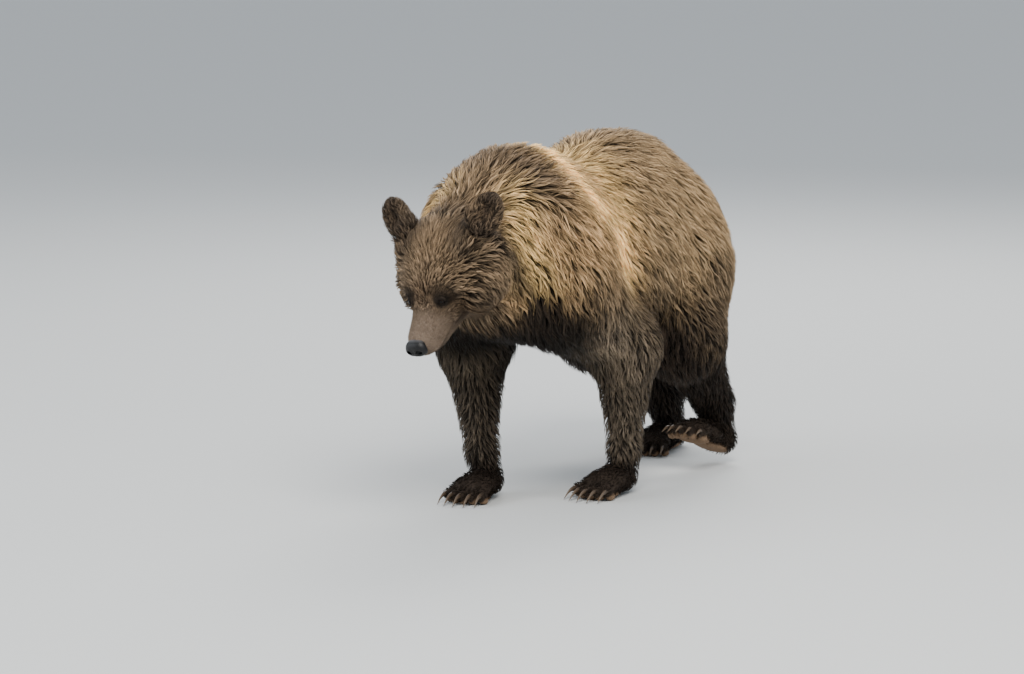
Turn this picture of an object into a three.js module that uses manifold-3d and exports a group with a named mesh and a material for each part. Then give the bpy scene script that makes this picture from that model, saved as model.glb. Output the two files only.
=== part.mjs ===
// A walking grizzly bear at life size, as a still display model.
// Millimetres, +Z up. The bear walks towards -Y with its head lowered; its left side is +X.
// The body is one smoothly blended form, made with surface nets and parted by thin cuts into named pieces.

import * as THREE from "three";
import { mergeVertices } from "three/addons/utils/BufferGeometryUtils.js";
import Module from "manifold-3d";

const wasm = await Module();
wasm.setup();

// ---- Driving sizes ----
const SHOULDER_HEIGHT = 1050; // floor to the tips of the coat on the hump
const TRUNK_LENGTH = 1250; // breast to buttocks
const TRUNK_WIDTH = 590; // across the belly
const HEAD_LENGTH = 430; // back of the skull to the nose
const HEAD_PITCH = 50; // degrees that the face points below the horizontal
const HEAD_ROLL = 8; // degrees that its left side is raised
const HEAD_CENTRE = [-8, -716, 742]; // middle of the brain case
const EYE_RADIUS = 12.5;
const CLAW_LENGTH_FORE = 62;
const CLAW_LENGTH_HIND = 38;
const GAP = 0.3; // between neighbouring pieces

// ---- Grid steps: how coarse each form's facets are ----
const TRUNK_STEP = 96;
const NECK_STEP = 72;
const HEAD_STEP = 42;
const MUZZLE_STEP = 17;
const NOSE_STEP = 13;
const TAIL_STEP = 26;
const UPPER_LEG_STEP = 72;
const LOWER_LEG_STEP = 52;
const FOOT_STEP = 29;

// ---- Locks: the space between roots, their length and half width, and how deep a coat they grow in ----
const LOCKS = { spacing: 116, size: { length: 235, width: 50 }, deeper: 21 };
const CHEEK_LOCKS = { spacing: 66, size: { length: 108, width: 23 }, deeper: 19 };

// ---- Small vector helpers on [x, y, z] arrays ----
const add = (a, b, s = 1) => [a[0] + s * b[0], a[1] + s * b[1], a[2] + s * b[2]];
const scale = (a, s) => [a[0] * s, a[1] * s, a[2] * s];
const dot = (a, b) => a[0] * b[0] + a[1] * b[1] + a[2] * b[2];
const cross = (a, b) => [a[1] * b[2] - a[2] * b[1], a[2] * b[0] - a[0] * b[2], a[0] * b[1] - a[1] * b[0]];
const length = (a) => Math.hypot(a[0], a[1], a[2]);
const unit = (a) => scale(a, 1 / (length(a) || 1));
const mix = (a, b, t) => add(scale(a, 1 - t), b, t);
const mirror = (a) => [-a[0], a[1], a[2]];

// ---- Masses: the blended lumps that make the bear's outline, out to the tips of its coat ----
// Each has the depth of the coat over it, and the direction in which that coat lies.
const BACK = [0, 1, -0.25];
const DOWN = [0, 0.35, -1];

// An ellipsoid. axes, when given, are its three unit directions.
function ball(at, radii, look, axes = null) {
  const inverse = radii.map((r) => 1 / r);
  const smallest = Math.min(...radii);
  const distance = (p) => {
    const q = add(p, at, -1);
    const local = axes ? axes.map((axis) => dot(q, axis)) : q;
    const shares = local.map((value, i) => value * inverse[i]);
    const near = Math.hypot(...shares);
    const far = Math.hypot(...shares.map((value, i) => value * inverse[i]));
    return far < 1e-9 ? -smallest : (near * (near - 1)) / far;
  };
  return { distance, ...look };
}

// A round bar that tapers from one radius to another.
function bar(from, to, radii, look) {
  const along = add(to, from, -1);
  const size = dot(along, along);
  const distance = (p) => {
    const q = add(p, from, -1);
    const t = Math.min(1, Math.max(0, dot(q, along) / size));
    return length(add(q, along, -t)) - (radii[0] + (radii[1] - radii[0]) * t);
  };
  return { distance, ...look };
}

function smoothMin(a, b, blend) {
  const h = Math.max(blend - Math.abs(a - b), 0) / blend;
  return Math.min(a, b) - (h * h * blend) / 4;
}

// ---- Trunk, in shares of its driving sizes ----
const onTrunk = ([x, y, z]) => [x * TRUNK_WIDTH, y * TRUNK_LENGTH, z * SHOULDER_HEIGHT];
const trunkLook = { blend: 110, coat: 44, lie: [0, 0.68, -0.85] };

function trunkMasses() {
  const lump = (at, radii, look) => ball(onTrunk(at), onTrunk(radii), { ...trunkLook, ...look });
  const pair = (at, radii, look) => [lump(at, radii, look), lump(mirror(at), radii, look)];
  return [
    lump([0, -0.205, 0.695], [0.42, 0.26, 0.254], { lie: [0, 0.65, -0.9] }), // ribs
    lump([0, -0.3, 0.79], [0.19, 0.16, 0.2], { coat: 52, lie: BACK, travel: 0.4 }), // hump
    ...pair([0.25, -0.31, 0.665], [0.19, 0.13, 0.21], { lie: [0, 0.5, -0.95] }), // shoulder blades
    lump([0, 0.115, 0.703], [0.43, 0.26, 0.29], {}), // loins
    lump([0, 0.05, 0.6], [0.42, 0.25, 0.215], { coat: 48 }), // belly
    lump([0, 0.265, 0.702], [0.325, 0.205, 0.247], {}), // croup
    ...pair([0.225, 0.335, 0.575], [0.215, 0.165, 0.25], { lie: DOWN }), // haunches
    lump([0, -0.4, 0.65], [0.24, 0.1, 0.13], { lie: DOWN, coat: 48 }), // breast
  ];
}

// ---- Head: u to the bear's left, v forward along the muzzle, w up from the brow ----
const pitch = THREE.MathUtils.degToRad(HEAD_PITCH);
const roll = THREE.MathUtils.degToRad(HEAD_ROLL);
const FOREHEAD = [0, -Math.sin(pitch), Math.cos(pitch)];
const HEAD_AXES = [
  add([Math.cos(roll), 0, 0], FOREHEAD, Math.sin(roll)),
  [0, -Math.cos(pitch), -Math.sin(pitch)],
  add([-Math.sin(roll), 0, 0], FOREHEAD, Math.cos(roll)),
];
const HEAD_UNIT = HEAD_LENGTH / 410;

function onHead([u, v, w]) {
  return HEAD_AXES.reduce((point, axis, i) => add(point, axis, [u, v, w][i] * HEAD_UNIT), HEAD_CENTRE);
}

const headDirection = ([u, v, w]) =>
  unit(HEAD_AXES.reduce((point, axis, i) => add(point, axis, [u, v, w][i]), [0, 0, 0]));

function headMasses() {
  const look = { blend: 34, coat: 16, lie: headDirection([0, -1, 0.1]) };
  const lump = (at, radii, own) =>
    ball(onHead(at), scale(radii, HEAD_UNIT), { ...look, ...own }, HEAD_AXES);
  const pair = (at, radii, { lie = [0, -1, 0.1], ...own }) => [
    lump(at, radii, { lie: headDirection(lie), ...own }),
    lump(mirror(at), radii, { lie: headDirection(mirror(lie)), ...own }),
  ];
  const rod = (from, to, radii, own) =>
    bar(onHead(from), onHead(to), scale([...radii, 0], HEAD_UNIT).slice(0, 2), { ...look, ...own });
  return [
    lump([0, -10, 5], [150, 124, 102], {}), // brain case
    lump([0, 72, 22], [107, 80, 62], {}), // forehead
    ...pair([98, -26, 32], [60, 64, 62], { lie: [0.6, -0.8, 0], coat: 22 }), // ear bases
    ...pair([86, 18, -38], [78, 106, 84], { lie: [0.9, -0.2, -0.45], coat: 27 }), // cheeks
    ...pair([60, -70, -60], [80, 90, 90], { lie: [0.3, -0.1, -1], coat: 38 }), // ruff behind the jaw
    ...pair([44, 104, 26], [26, 34, 24], { lie: [0.4, -0.9, 0.2], coat: 8, blend: 26 }), // brow ridges
    rod([0, 96, -14], [0, 232, -16], [74, 42], { coat: 5 }), // muzzle
    lump([0, 226, -2], [33, 50, 31], { coat: 4, blend: 20 }), // end of the muzzle
    ...pair([22, 206, -40], [20, 48, 24], { coat: 4, blend: 18 }), // upper lips
    lump([0, 230, -29], [29, 46, 26], { coat: 4, blend: 18 }), // front of the lip, under the nose
    rod([0, 60, -84], [0, 198, -66], [52, 25], { coat: 10 }), // lower jaw
  ];
}

// ---- Neck ----
function neckMasses() {
  const look = { blend: 110, coat: 46, lie: [0, 0.8, -0.7] };
  return [
    bar([0, -470, 790], onHead([0, -60, -20]), [215, 132], look),
    bar([0, -490, 712], onHead([0, -20, -60]), [155, 96], { ...look, lie: DOWN }),
  ];
}

// ---- Legs: the joints of each, from the trunk to the toes ----
const LEGS = {
  left_fore: {
    fore: true, side: 1, joints: [[170, -370, 640], [212, -100, 440], [186, -50, 130]],
    sole: [168, -85, 0], heading: 6, toesUp: 0,
  },
  right_fore: {
    fore: true, side: -1, joints: [[-170, -380, 640], [-198, -265, 440], [-150, -300, 130]],
    sole: [-135, -330, 0], heading: -4, toesUp: 0,
  },
  left_hind: {
    fore: false, side: 1, joints: [[150, 370, 600], [200, 290, 420], [198, 500, 190]],
    sole: [195, 425, 66], heading: 4, toesUp: 20,
  },
  right_hind: {
    fore: false, side: -1, joints: [[-150, 400, 600], [-180, 420, 410], [-75, 690, 160]],
    sole: [-62, 640, 0], heading: -6, toesUp: 0,
  },
};

// A paw's frame: x across to the bear's left, y towards the heel, z up from the sole.
function pawFrame(leg) {
  const turn = new THREE.Euler(
    -THREE.MathUtils.degToRad(leg.toesUp), 0, -THREE.MathUtils.degToRad(leg.heading), "ZXY",
  );
  const matrix = new THREE.Matrix4().makeRotationFromEuler(turn);
  const axes = [0, 1, 2].map((i) => new THREE.Vector3().setFromMatrixColumn(matrix, i).toArray());
  const place = (p) => axes.reduce((point, axis, i) => add(point, axis, p[i]), leg.sole);
  return { axes, place };
}

function legMasses(leg) {
  const [root, middle, end] = leg.joints;
  const { axes, place } = pawFrame(leg);
  const fur = { blend: 60, coat: 34, lie: DOWN };
  const short = { blend: 34, coat: 14, lie: DOWN };
  const pawLook = { blend: 26, coat: 9, lie: scale(axes[1], -1) };
  const pad = (at, radii) => ball(place(at), radii, pawLook, axes);
  const heel = leg.fore ? place([0, 45, 60]) : place([0, 95, 52]);
  const radii = leg.fore ? [130, 102, 50] : [150, 120, 62];
  return [
    bar(root, middle, [radii[0], radii[1]], { ...fur, blend: 90 }),
    bar(middle, end, [radii[1], radii[2]], { ...fur, coat: 16 }),
    bar(end, heel, [radii[2], leg.fore ? 46 : 50], short),
    pad([0, leg.fore ? 30 : 90, 44], [56, leg.fore ? 52 : 60, 46]),
    pad([0, leg.fore ? -25 : -5, 42], [66, leg.fore ? 62 : 92, 42]),
    pad([0, -70, 34], [70, 40, 34]),
  ];
}

// ---- Toes and claws ----
const TOES = 5;
const TOE_SPREAD = [-54, -28, 0, 28, 54];
const TOE_REACH = [-98, -114, -120, -114, -98];

function toeMasses(leg) {
  const { axes, place } = pawFrame(leg);
  return TOE_SPREAD.map((x, i) =>
    ball(place([x, TOE_REACH[i], 24]), [17, 30, 24], { blend: 9, coat: 6, lie: scale(axes[1], -1) }, axes),
  );
}

// ---- The outline of the whole bear ----
const TAIL = bar([0, 556, 775], [0, 612, 664], [34, 20], { blend: 20, coat: 30, lie: [0, 0.6, -0.8] });
const MASSES = { trunk: [...trunkMasses(), ...neckMasses()], head: headMasses() };
for (const [name, leg] of Object.entries(LEGS)) MASSES[name] = [...legMasses(leg), ...toeMasses(leg)];
const THIGHS = Object.keys(LEGS).map((name) => MASSES[name][0]);
const TRUNK = [...MASSES.trunk, ...MASSES.head, ...THIGHS];

function outlineOf(masses) {
  return (p) => masses.reduce((d, mass) => smoothMin(d, mass.distance(p), mass.blend), 1e4);
}

// The coat over a spot: its depth, and the way it lies, from the masses nearest to that spot.
function coatAt(masses, p) {
  const distances = masses.map((mass) => mass.distance(p));
  const nearest = Math.min(...distances);
  let [depth, travel, total] = [0, 0, 0];
  let lie = [0, 0, 0];
  masses.forEach((mass, i) => {
    const weight = Math.exp((nearest - distances[i]) / 22);
    depth += weight * mass.coat;
    travel += weight * (mass.travel ?? 1);
    lie = add(lie, unit(mass.lie), weight);
    total += weight;
  });
  return { depth: depth / total, travel: travel / total, lie: unit(lie) };
}

// Under long locks there is a core, the dense fur that they grow through, half way to their tips.
const LONG_COAT = [16, 26];

function coreDepth(masses, p) {
  const { depth } = coatAt(masses, p);
  const t = Math.min(1, Math.max(0, (depth - LONG_COAT[0]) / (LONG_COAT[1] - LONG_COAT[0])));
  return 0.5 * depth * t * t * (3 - 2 * t);
}

function coreOf(masses) {
  const outline = outlineOf(masses);
  return (p) => {
    const d = outline(p);
    return d > 90 || d < -160 ? d + 20 : d + coreDepth(masses, p);
  };
}

// The point where a line from inside the bear comes out through its outline.
function surfacePoint(field, inside, direction) {
  let near = 0;
  let far = 400;
  for (let i = 0; i < 40; i++) {
    const middle = (near + far) / 2;
    if (field(add(inside, direction, middle)) < 0) near = middle;
    else far = middle;
  }
  return add(inside, direction, near);
}

function normalAt(field, p) {
  const d = 2;
  const slope = [0, 1, 2].map((i) => {
    const step = [0, 0, 0];
    step[i] = d;
    return field(add(p, step)) - field(add(p, step, -1));
  });
  return unit(slope);
}

// ---- Solids ----
const solidFrom = (positions, triangles) =>
  new wasm.Manifold(
    new wasm.Mesh({
      numProp: 3,
      vertProperties: new Float32Array(positions),
      triVerts: new Uint32Array(triangles),
    }),
  );

function solidFromGeometry(geometry) {
  for (const name of ["normal", "uv"]) geometry.deleteAttribute(name);
  const merged = mergeVertices(geometry, 1e-4);
  return solidFrom(merged.attributes.position.array, merged.index.array);
}

// The side of a plane that lies against its outward direction, as a very large block.
function halfSpace({ at, out }, clearance = GAP / 2) {
  const size = 6000;
  const block = new THREE.BoxGeometry(size, size, size);
  const direction = unit(out);
  block.translate(0, 0, -size / 2 - clearance);
  const turn = new THREE.Quaternion().setFromUnitVectors(
    new THREE.Vector3(0, 0, 1),
    new THREE.Vector3(...direction),
  );
  block.applyQuaternion(turn);
  block.translate(...at);
  return solidFromGeometry(block);
}

const flip = ({ at, out }) => ({ at, out: scale(out, -1) });
const cellOf = (planes, clearance) =>
  planes.map((plane) => halfSpace(plane, clearance)).reduce((a, b) => a.intersect(b));

function largest(solid) {
  const pieces = solid.decompose();
  return pieces.reduce((a, b) => (b.volume() > a.volume() ? b : a));
}

function cornersOf({ vertProperties }) {
  const corners = [];
  for (let i = 0; i < vertProperties.length; i += 3) {
    corners.push(Array.from(vertProperties.slice(i, i + 3)));
  }
  return corners;
}

function cornerNormals({ triVerts }, corners) {
  const normals = corners.map(() => [0, 0, 0]);
  for (let t = 0; t < triVerts.length; t += 3) {
    const [a, b, c] = [0, 1, 2].map((k) => triVerts[t + k]);
    const face = cross(add(corners[b], corners[a], -1), add(corners[c], corners[a], -1));
    for (const i of [a, b, c]) normals[i] = add(normals[i], face);
  }
  return normals.map(unit);
}

// The same solid with every corner moved out along its normal.
function grown(solid, by) {
  const mesh = solid.getMesh();
  const corners = cornersOf(mesh);
  const normals = cornerNormals(mesh, corners);
  return solidFrom(corners.flatMap((corner, i) => add(corner, normals[i], by)), mesh.triVerts);
}

// Where two folds of a surface touch at a corner, each is drawn in a little, so that they stay apart.
const FOLD_GAP = 0.1;

function foldsApart(mesh) {
  const corners = cornersOf(mesh);
  const normals = cornerNormals(mesh, corners);
  const key = (corner) => corner.map((value) => Math.round(value / (FOLD_GAP / 10))).join();
  const count = new Map();
  for (const corner of corners) count.set(key(corner), (count.get(key(corner)) ?? 0) + 1);
  return corners.flatMap((corner, i) =>
    count.get(key(corner)) > 1 ? add(corner, normals[i], -FOLD_GAP) : corner,
  );
}

// ---- Surface nets: one corner in each grid cell that the surface crosses ----
function netsOf(field, lo, hi, step) {
  const n = [0, 1, 2].map((i) => Math.ceil((hi[i] - lo[i]) / step) + 1);
  const at = (i, j, k) => [lo[0] + i * step, lo[1] + j * step, lo[2] + k * step];
  const index = (i, j, k) => i + n[0] * (j + n[1] * k);
  const inGrid = (visit, from, to) => {
    for (let k = from; k < n[2] + to; k++)
      for (let j = from; j < n[1] + to; j++)
        for (let i = from; i < n[0] + to; i++) visit(i, j, k);
  };
  const values = new Float64Array(n[0] * n[1] * n[2]);
  inGrid((i, j, k) => {
    values[index(i, j, k)] = field(at(i, j, k));
  }, 0, 0);
  const corners = [0, 1, 2, 3, 4, 5, 6, 7].map((c) => [c & 1, (c >> 1) & 1, (c >> 2) & 1]);
  const edges = [];
  for (let a = 0; a < 8; a++)
    for (const bit of [1, 2, 4].filter((one) => !(a & one))) edges.push([a, a | bit]);
  const cornerOf = new Map();
  const positions = [];
  inGrid((i, j, k) => {
    let sum = [0, 0, 0];
    let count = 0;
    for (const [a, b] of edges) {
      const [ca, cb] = [corners[a], corners[b]];
      const va = values[index(i + ca[0], j + ca[1], k + ca[2])];
      const vb = values[index(i + cb[0], j + cb[1], k + cb[2])];
      if (va < 0 === vb < 0) continue;
      sum = add(sum, mix(ca, cb, va / (va - vb)));
      count += 1;
    }
    if (!count) return;
    cornerOf.set(index(i, j, k), positions.length / 3);
    positions.push(...add(at(i, j, k), sum, step / count));
  }, 0, -1);
  const triangles = [];
  const across = [[[0, 1, 0], [0, 0, 1]], [[0, 0, 1], [1, 0, 0]], [[1, 0, 0], [0, 1, 0]]];
  inGrid((i, j, k) => {
    for (let axis = 0; axis < 3; axis++) {
      const next = [i, j, k];
      next[axis] += 1;
      const here = values[index(i, j, k)] < 0;
      if (here === values[index(...next)] < 0) continue;
      const [p, q] = across[axis];
      const ring = [[0, 0], [1, 0], [1, 1], [0, 1]].map(([s, t]) =>
        cornerOf.get(index(i - s * p[0] - t * q[0], j - s * p[1] - t * q[1], k - s * p[2] - t * q[2])),
      );
      if (!here) ring.reverse();
      triangles.push(ring[0], ring[1], ring[2], ring[0], ring[2], ring[3]);
    }
  }, 1, -1);
  return { positions, triangles };
}

// One closed form within a box, cut by planes. The planes' outward sides are dropped.
function carve(field, lo, hi, step, planes) {
  const edge = (p) =>
    Math.max(
      ...planes.map(({ at, out }) => dot(add(p, at, -1), unit(out)) - 2.2 * step),
      ...[0, 1, 2].flatMap((i) => [lo[i] + 1.5 * step - p[i], p[i] - hi[i] + 1.5 * step]),
    );
  const { positions, triangles } = netsOf((p) => Math.max(field(p), edge(p)), lo, hi, step);
  for (let i = 0; i < positions.length; i += 3) {
    const p = positions.slice(i, i + 3);
    const off = field(p);
    if (off < edge(p)) continue;
    const moved = add(p, normalAt(field, p), -off);
    moved.forEach((value, k) => (positions[i + k] = value));
  }
  const form = solidFrom(positions, triangles);
  return planes.length ? form.intersect(cellOf(planes)) : form;
}

// ---- Locks ----
function randomFrom(seed) {
  let state = seed;
  return () => {
    state = (state + 0x6d2b79f5) | 0;
    let t = Math.imul(state ^ (state >>> 15), 1 | state);
    t = (t + Math.imul(t ^ (t >>> 7), 61 | t)) ^ t;
    return ((t ^ (t >>> 14)) >>> 0) / 4294967296;
  };
}
const random = randomFrom(1871);
const between = (a, b) => a + (b - a) * random();

// A flat, tapered lock leaves the core at its root, bends along the lie of the coat just under the
// outline, and ends in a free tip. Where the coat stands up, it travels less far over the core.
const LOCK_ROOT = 16; // how deep the root's crest sits in the core
const LOCK_SINK = 5; // how deep its edges lie in the core beyond the root
const LOCK_WIDTHS = [0.6, 1, 0.72];
const LOCK_HEIGHTS = [0, 0.78, 0.96, 1];

function lockPath(masses, root, size) {
  const outline = outlineOf(masses);
  const steps = LOCK_WIDTHS.length;
  const points = [];
  let spot = add(root, normalAt(outline, root), -outline(root));
  for (let i = 0; i <= steps; i++) {
    const normal = normalAt(outline, spot);
    const { lie, depth, travel } = coatAt(masses, spot);
    const flat = unit(add(lie, normal, -dot(lie, normal)));
    const side = cross(normal, flat);
    const rise = coreDepth(masses, spot) + LOCK_ROOT;
    const crest = rise * (LOCK_HEIGHTS[i] - 1) + size.lift;
    points.push({ at: spot, normal, side, crest, edge: Math.min(-rise + LOCK_ROOT - LOCK_SINK, crest - 8) });
    const heading = unit(add(flat, side, size.sway + (size.bend * i) / steps));
    spot = add(spot, heading, (size.length * travel) / steps);
    spot = add(spot, normalAt(outline, spot), -outline(spot));
  }
  return points;
}

// Its section is a low ridge: two edges and a crest.
function lockSolid(points, size) {
  const positions = [];
  LOCK_WIDTHS.forEach((share, i) => {
    const { at, normal, side, crest, edge } = points[i];
    const half = size.width * share;
    positions.push(...add(add(at, side, half), normal, edge));
    positions.push(...add(add(at, side, size.ridge * half), normal, crest));
    positions.push(...add(add(at, side, -half), normal, edge));
  });
  const tip = positions.length / 3;
  const end = points[LOCK_WIDTHS.length];
  positions.push(...add(end.at, end.normal, end.crest));
  const triangles = [0, 2, 1];
  for (let i = 0; i < 3; i++)
    for (let k = 0; k < 3; k++) {
      const [a, b] = [i * 3 + k, i * 3 + ((k + 1) % 3)];
      if (i === 2) triangles.push(a, b, tip);
      else triangles.push(a, b, a + 3, b, b + 3, a + 3);
    }
  return solidFrom(positions, triangles);
}

// Roots spread evenly over a form, no two nearer than the spacing, measured shorter along the lie.
function rootsOver(form, masses, spacing, allowed, taken) {
  const mesh = form.getMesh();
  const corners = cornersOf(mesh);
  const faces = [];
  let area = 0;
  for (let t = 0; t < mesh.triVerts.length; t += 3) {
    const [a, b, c] = [0, 1, 2].map((k) => corners[mesh.triVerts[t + k]]);
    area += length(cross(add(b, a, -1), add(c, a, -1)));
    faces.push({ a, b, c, area });
  }
  const roots = [];
  for (let tries = 0; tries < 5000; tries++) {
    const pick = random() * area;
    const { a, b, c } = faces.find((face) => face.area >= pick);
    let [s, t] = [random(), random()];
    if (s + t > 1) [s, t] = [1 - s, 1 - t];
    const spot = add(add(a, add(b, a, -1), s), add(c, a, -1), t);
    if (!allowed(spot)) continue;
    const { lie, travel } = coatAt(masses, spot);
    const apart = spacing * (0.3 + 0.7 * travel);
    const clear = [...taken, ...roots].every((other) => {
      const gap = add(spot, other, -1);
      const along = dot(gap, lie);
      return dot(gap, gap) - 0.35 * along * along > apart * apart;
    });
    if (clear) roots.push(spot);
  }
  return roots;
}

const within = (planes, p, margin = 0) =>
  planes.every(({ at, out }) => dot(add(p, at, -1), unit(out)) < -margin);

// The lock reaches over a seam, where the other piece's facets may lie too low to carry its tip.
function crossesSeam(points) {
  const [start, tip] = [points[0].at, points.at(-1).at];
  const parts = [...SEAMS.map((plane) => [plane]), ...legCells];
  return parts.some((planes) => within(planes, start) !== within(planes, tip));
}

// The locks of one stretch of the coat, rooted between the others, with tips short of the planes in ends.
function locksOver(form, masses, { spacing, size, deeper }, allowed, others = [], ends = []) {
  const outline = outlineOf(masses);
  const onCoat = (p) =>
    Math.abs(outline(p) + coreDepth(masses, p)) < 22 && coatAt(masses, p).depth > deeper && allowed(p);
  const taken = others.map(({ root }) => root);
  return rootsOver(form, masses, spacing, onCoat, taken).map((root) => {
    const own = {
      length: size.length * between(0.85, 1.2),
      width: size.width * between(0.85, 1.2),
      lift: between(2, 9),
      ridge: between(-0.35, 0.35),
      sway: between(-0.3, 0.3),
      bend: between(-0.4, 0.4),
    };
    let points = lockPath(masses, root, own);
    for (let i = 0; i < 5 && (!within(ends, points.at(-1).at, 3) || crossesSeam(points)); i++) {
      own.length *= 0.75;
      points = lockPath(masses, root, own);
    }
    return { root, points, solid: lockSolid(points, own) };
  });
}

// A form with the locks that reach into its cell, all cut flat where the cell ends.
function withLocks(form, planes, locks) {
  const near = locks.filter(({ points }) => points.some(({ at }) => within(planes, at, -20)));
  return near.reduce((whole, { solid }) => whole.add(solid), form).intersect(cellOf(planes));
}

// ---- Where the pieces part ----
const HEAD_CUT = { at: [0, -625, 760], out: [0, 0.97, 0.25] };
const NECK_CUT = { at: [0, -500, 850], out: [0, 0.9, -0.43] };
const CHEST_CUT = { at: [0, -130, 0], out: [0, 1, 0] };
const BARREL_CUT = { at: [0, 200, 0], out: [0, 1, 0] };
const SEAMS = [HEAD_CUT, NECK_CUT, CHEST_CUT, BARREL_CUT];
const MUZZLE_CUT = { at: onHead([0, 158, 0]), out: headDirection([0, -1, 0]) };
const MOUTH_CUT = { at: onHead([0, 158, -60]), out: headDirection([0, 0.12, -1]) };
const FLOOR = { at: [0, 0, -GAP / 2], out: [0, 0, -1] };

// A leg's cell: outside the groin or armpit, and under a slope up to the shoulder or hip.
function legCell(leg) {
  const slope = leg.fore ? [-0.6 * leg.side, 0, 0.8] : [-0.55 * leg.side, 0, 0.83];
  const top = leg.fore ? [60 * leg.side, 0, 440] : [55 * leg.side, 0, 430];
  const planes = [
    { at: top, out: slope },
    { at: [35 * leg.side, 0, 0], out: [-leg.side, 0, 0] },
  ];
  if (leg.fore) planes.push({ at: [0, 30, 0], out: [0, 1, 0] });
  else planes.push({ at: [0, 160, 0], out: [0, -1, 0] });
  return planes;
}

function legCuts(leg) {
  const [, middle, end] = leg.joints;
  const { axes, place } = pawFrame(leg);
  return {
    knee: { at: mix(middle, end, 0.3), out: add(end, middle, -1) },
    ankle: { at: place([0, 0, leg.fore ? 96 : 104]), out: scale(axes[2], -1) },
  };
}

// ---- Small pieces ----
const headField = outlineOf([...MASSES.head, ...MASSES.trunk]);

const EYES = [-1, 1].map((side) => {
  const start = onHead([26 * side, 142, 0]);
  const surface = surfacePoint(headField, start, headDirection([0.62 * side, 0.2, 0.76]));
  const out = normalAt(headField, surface);
  return { side, out, centre: add(surface, out, -EYE_RADIUS * 0.86) };
});

// A faceted ball, stretched to three radii along three axes.
function facetedBall(centre, radii, axes, detail) {
  const geometry = new THREE.IcosahedronGeometry(1, detail);
  geometry.applyMatrix4(
    new THREE.Matrix4().makeBasis(...axes.map((axis, i) => new THREE.Vector3(...scale(axis, radii[i])))),
  );
  geometry.translate(...centre);
  return solidFromGeometry(geometry);
}

const sphere = (centre, radius, detail) =>
  facetedBall(centre, [radius, radius, radius], [[1, 0, 0], [0, 1, 0], [0, 0, 1]], detail);

// A bent, tapered bar with a diamond section, through a row of points.
function sweep(points, sizes, flatness = 1, up = [0, 0, 1], sides = 4) {
  const positions = [];
  points.forEach((point, i) => {
    const ahead = points[Math.min(i + 1, points.length - 1)];
    const behind = points[Math.max(i - 1, 0)];
    const along = unit(add(ahead, behind, -1));
    const across = unit(cross(along, up));
    const lift = cross(across, along);
    for (let k = 0; k < sides; k++) {
      const angle = (2 * Math.PI * k) / sides;
      const spot = add(point, across, Math.cos(angle) * sizes[i]);
      positions.push(...add(spot, lift, Math.sin(angle) * sizes[i] * flatness));
    }
  });
  const rings = points.length;
  const triangles = [];
  for (let i = 0; i < rings - 1; i++)
    for (let k = 0; k < sides; k++) {
      const [a, b] = [i * sides + k, i * sides + ((k + 1) % sides)];
      triangles.push(a, a + sides, b, b, a + sides, b + sides);
    }
  for (const [ring, order] of [[0, 1], [rings - 1, -1]]) {
    const base = ring * sides;
    for (let k = 1; k < sides - 1; k++) {
      const fan = [base, base + k, base + k + 1];
      triangles.push(...(order === 1 ? fan : fan.reverse()));
    }
  }
  return solidFrom(positions, triangles);
}

// Eyelids: a low round rim about the eye, and the almond between them, with a corner towards the nose.
function lids({ side, out, centre }) {
  const inner = headDirection([-0.84 * side, 0.16, 0.52]);
  const along = unit(add(inner, out, -dot(inner, out)));
  const across = unit(cross(out, along));
  const axes = [along, across, out];
  const rim = facetedBall(centre, [EYE_RADIUS * 1.5, EYE_RADIUS * 1.25, EYE_RADIUS * 1.22], axes, 1);
  const discs = [-1, 1].map((half) => {
    const disc = new THREE.CylinderGeometry(16, 16, 40, 14);
    disc.rotateX(Math.PI / 2);
    disc.applyMatrix4(new THREE.Matrix4().makeBasis(...axes.map((axis) => new THREE.Vector3(...axis))));
    disc.translate(...add(add(centre, across, 9 * half), out, 22));
    return solidFromGeometry(disc);
  });
  return { rim, opening: discs[0].intersect(discs[1]) };
}

const earRoot = (side) =>
  surfacePoint(headField, onHead([94 * side + 13, -34, 50]), headDirection([0.68 * side, -0.25, 0.7]));
const EARS = [-1, 1].map(earRoot);

// An ear: a rounded upright shell with a cup in its front.
function ear(side) {
  const up = unit([0.36 * side, -0.06, 0.9]);
  const facing = [0.1 * side, -0.95, 0];
  const front = unit(add(facing, up, -dot(facing, up)));
  const across = cross(front, up);
  const axes = [across, front, up];
  const root = add(earRoot(side), up, 11 * side - 3);
  const place = (p) => axes.reduce((point, axis, i) => add(point, axis, p[i]), root);
  const shell = facetedBall(place([0, -2, 41]), [46, 24, 61], axes, 2);
  const foot = facetedBall(place([8 * side, -5, 0]), [38, 29, 40], axes, 1);
  const cup = facetedBall(place([0, 25, 50]), [30, 28, 38], axes, 1);
  return shell.add(foot).subtract(cup);
}

// The nose pad, with a comma-shaped nostril at each side.
function nose() {
  const centre = onHead([0, 275, -5]);
  const pad = ball(centre, [35, 18, 24], {}, HEAD_AXES).distance;
  const top = ball(onHead([0, 266, 7]), [28, 18, 14], {}, HEAD_AXES).distance;
  const field = (p) => smoothMin(pad(p), top(p), 14);
  const reach = [48, 48, 48];
  const body = carve(field, add(centre, reach, -1), add(centre, reach), NOSE_STEP, []);
  const row = [[12, 304, 0], [14, 288, 0], [20, 281, -4], [36, 274, -13]];
  const nostrils = [-1, 1].map((side) =>
    sweep(row.map(([u, v, w]) => onHead([u * side, v, w])), [8, 8, 6.5, 4], 0.8, HEAD_AXES[2]),
  );
  return nostrils.reduce((a, b) => a.subtract(b), body);
}

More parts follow.
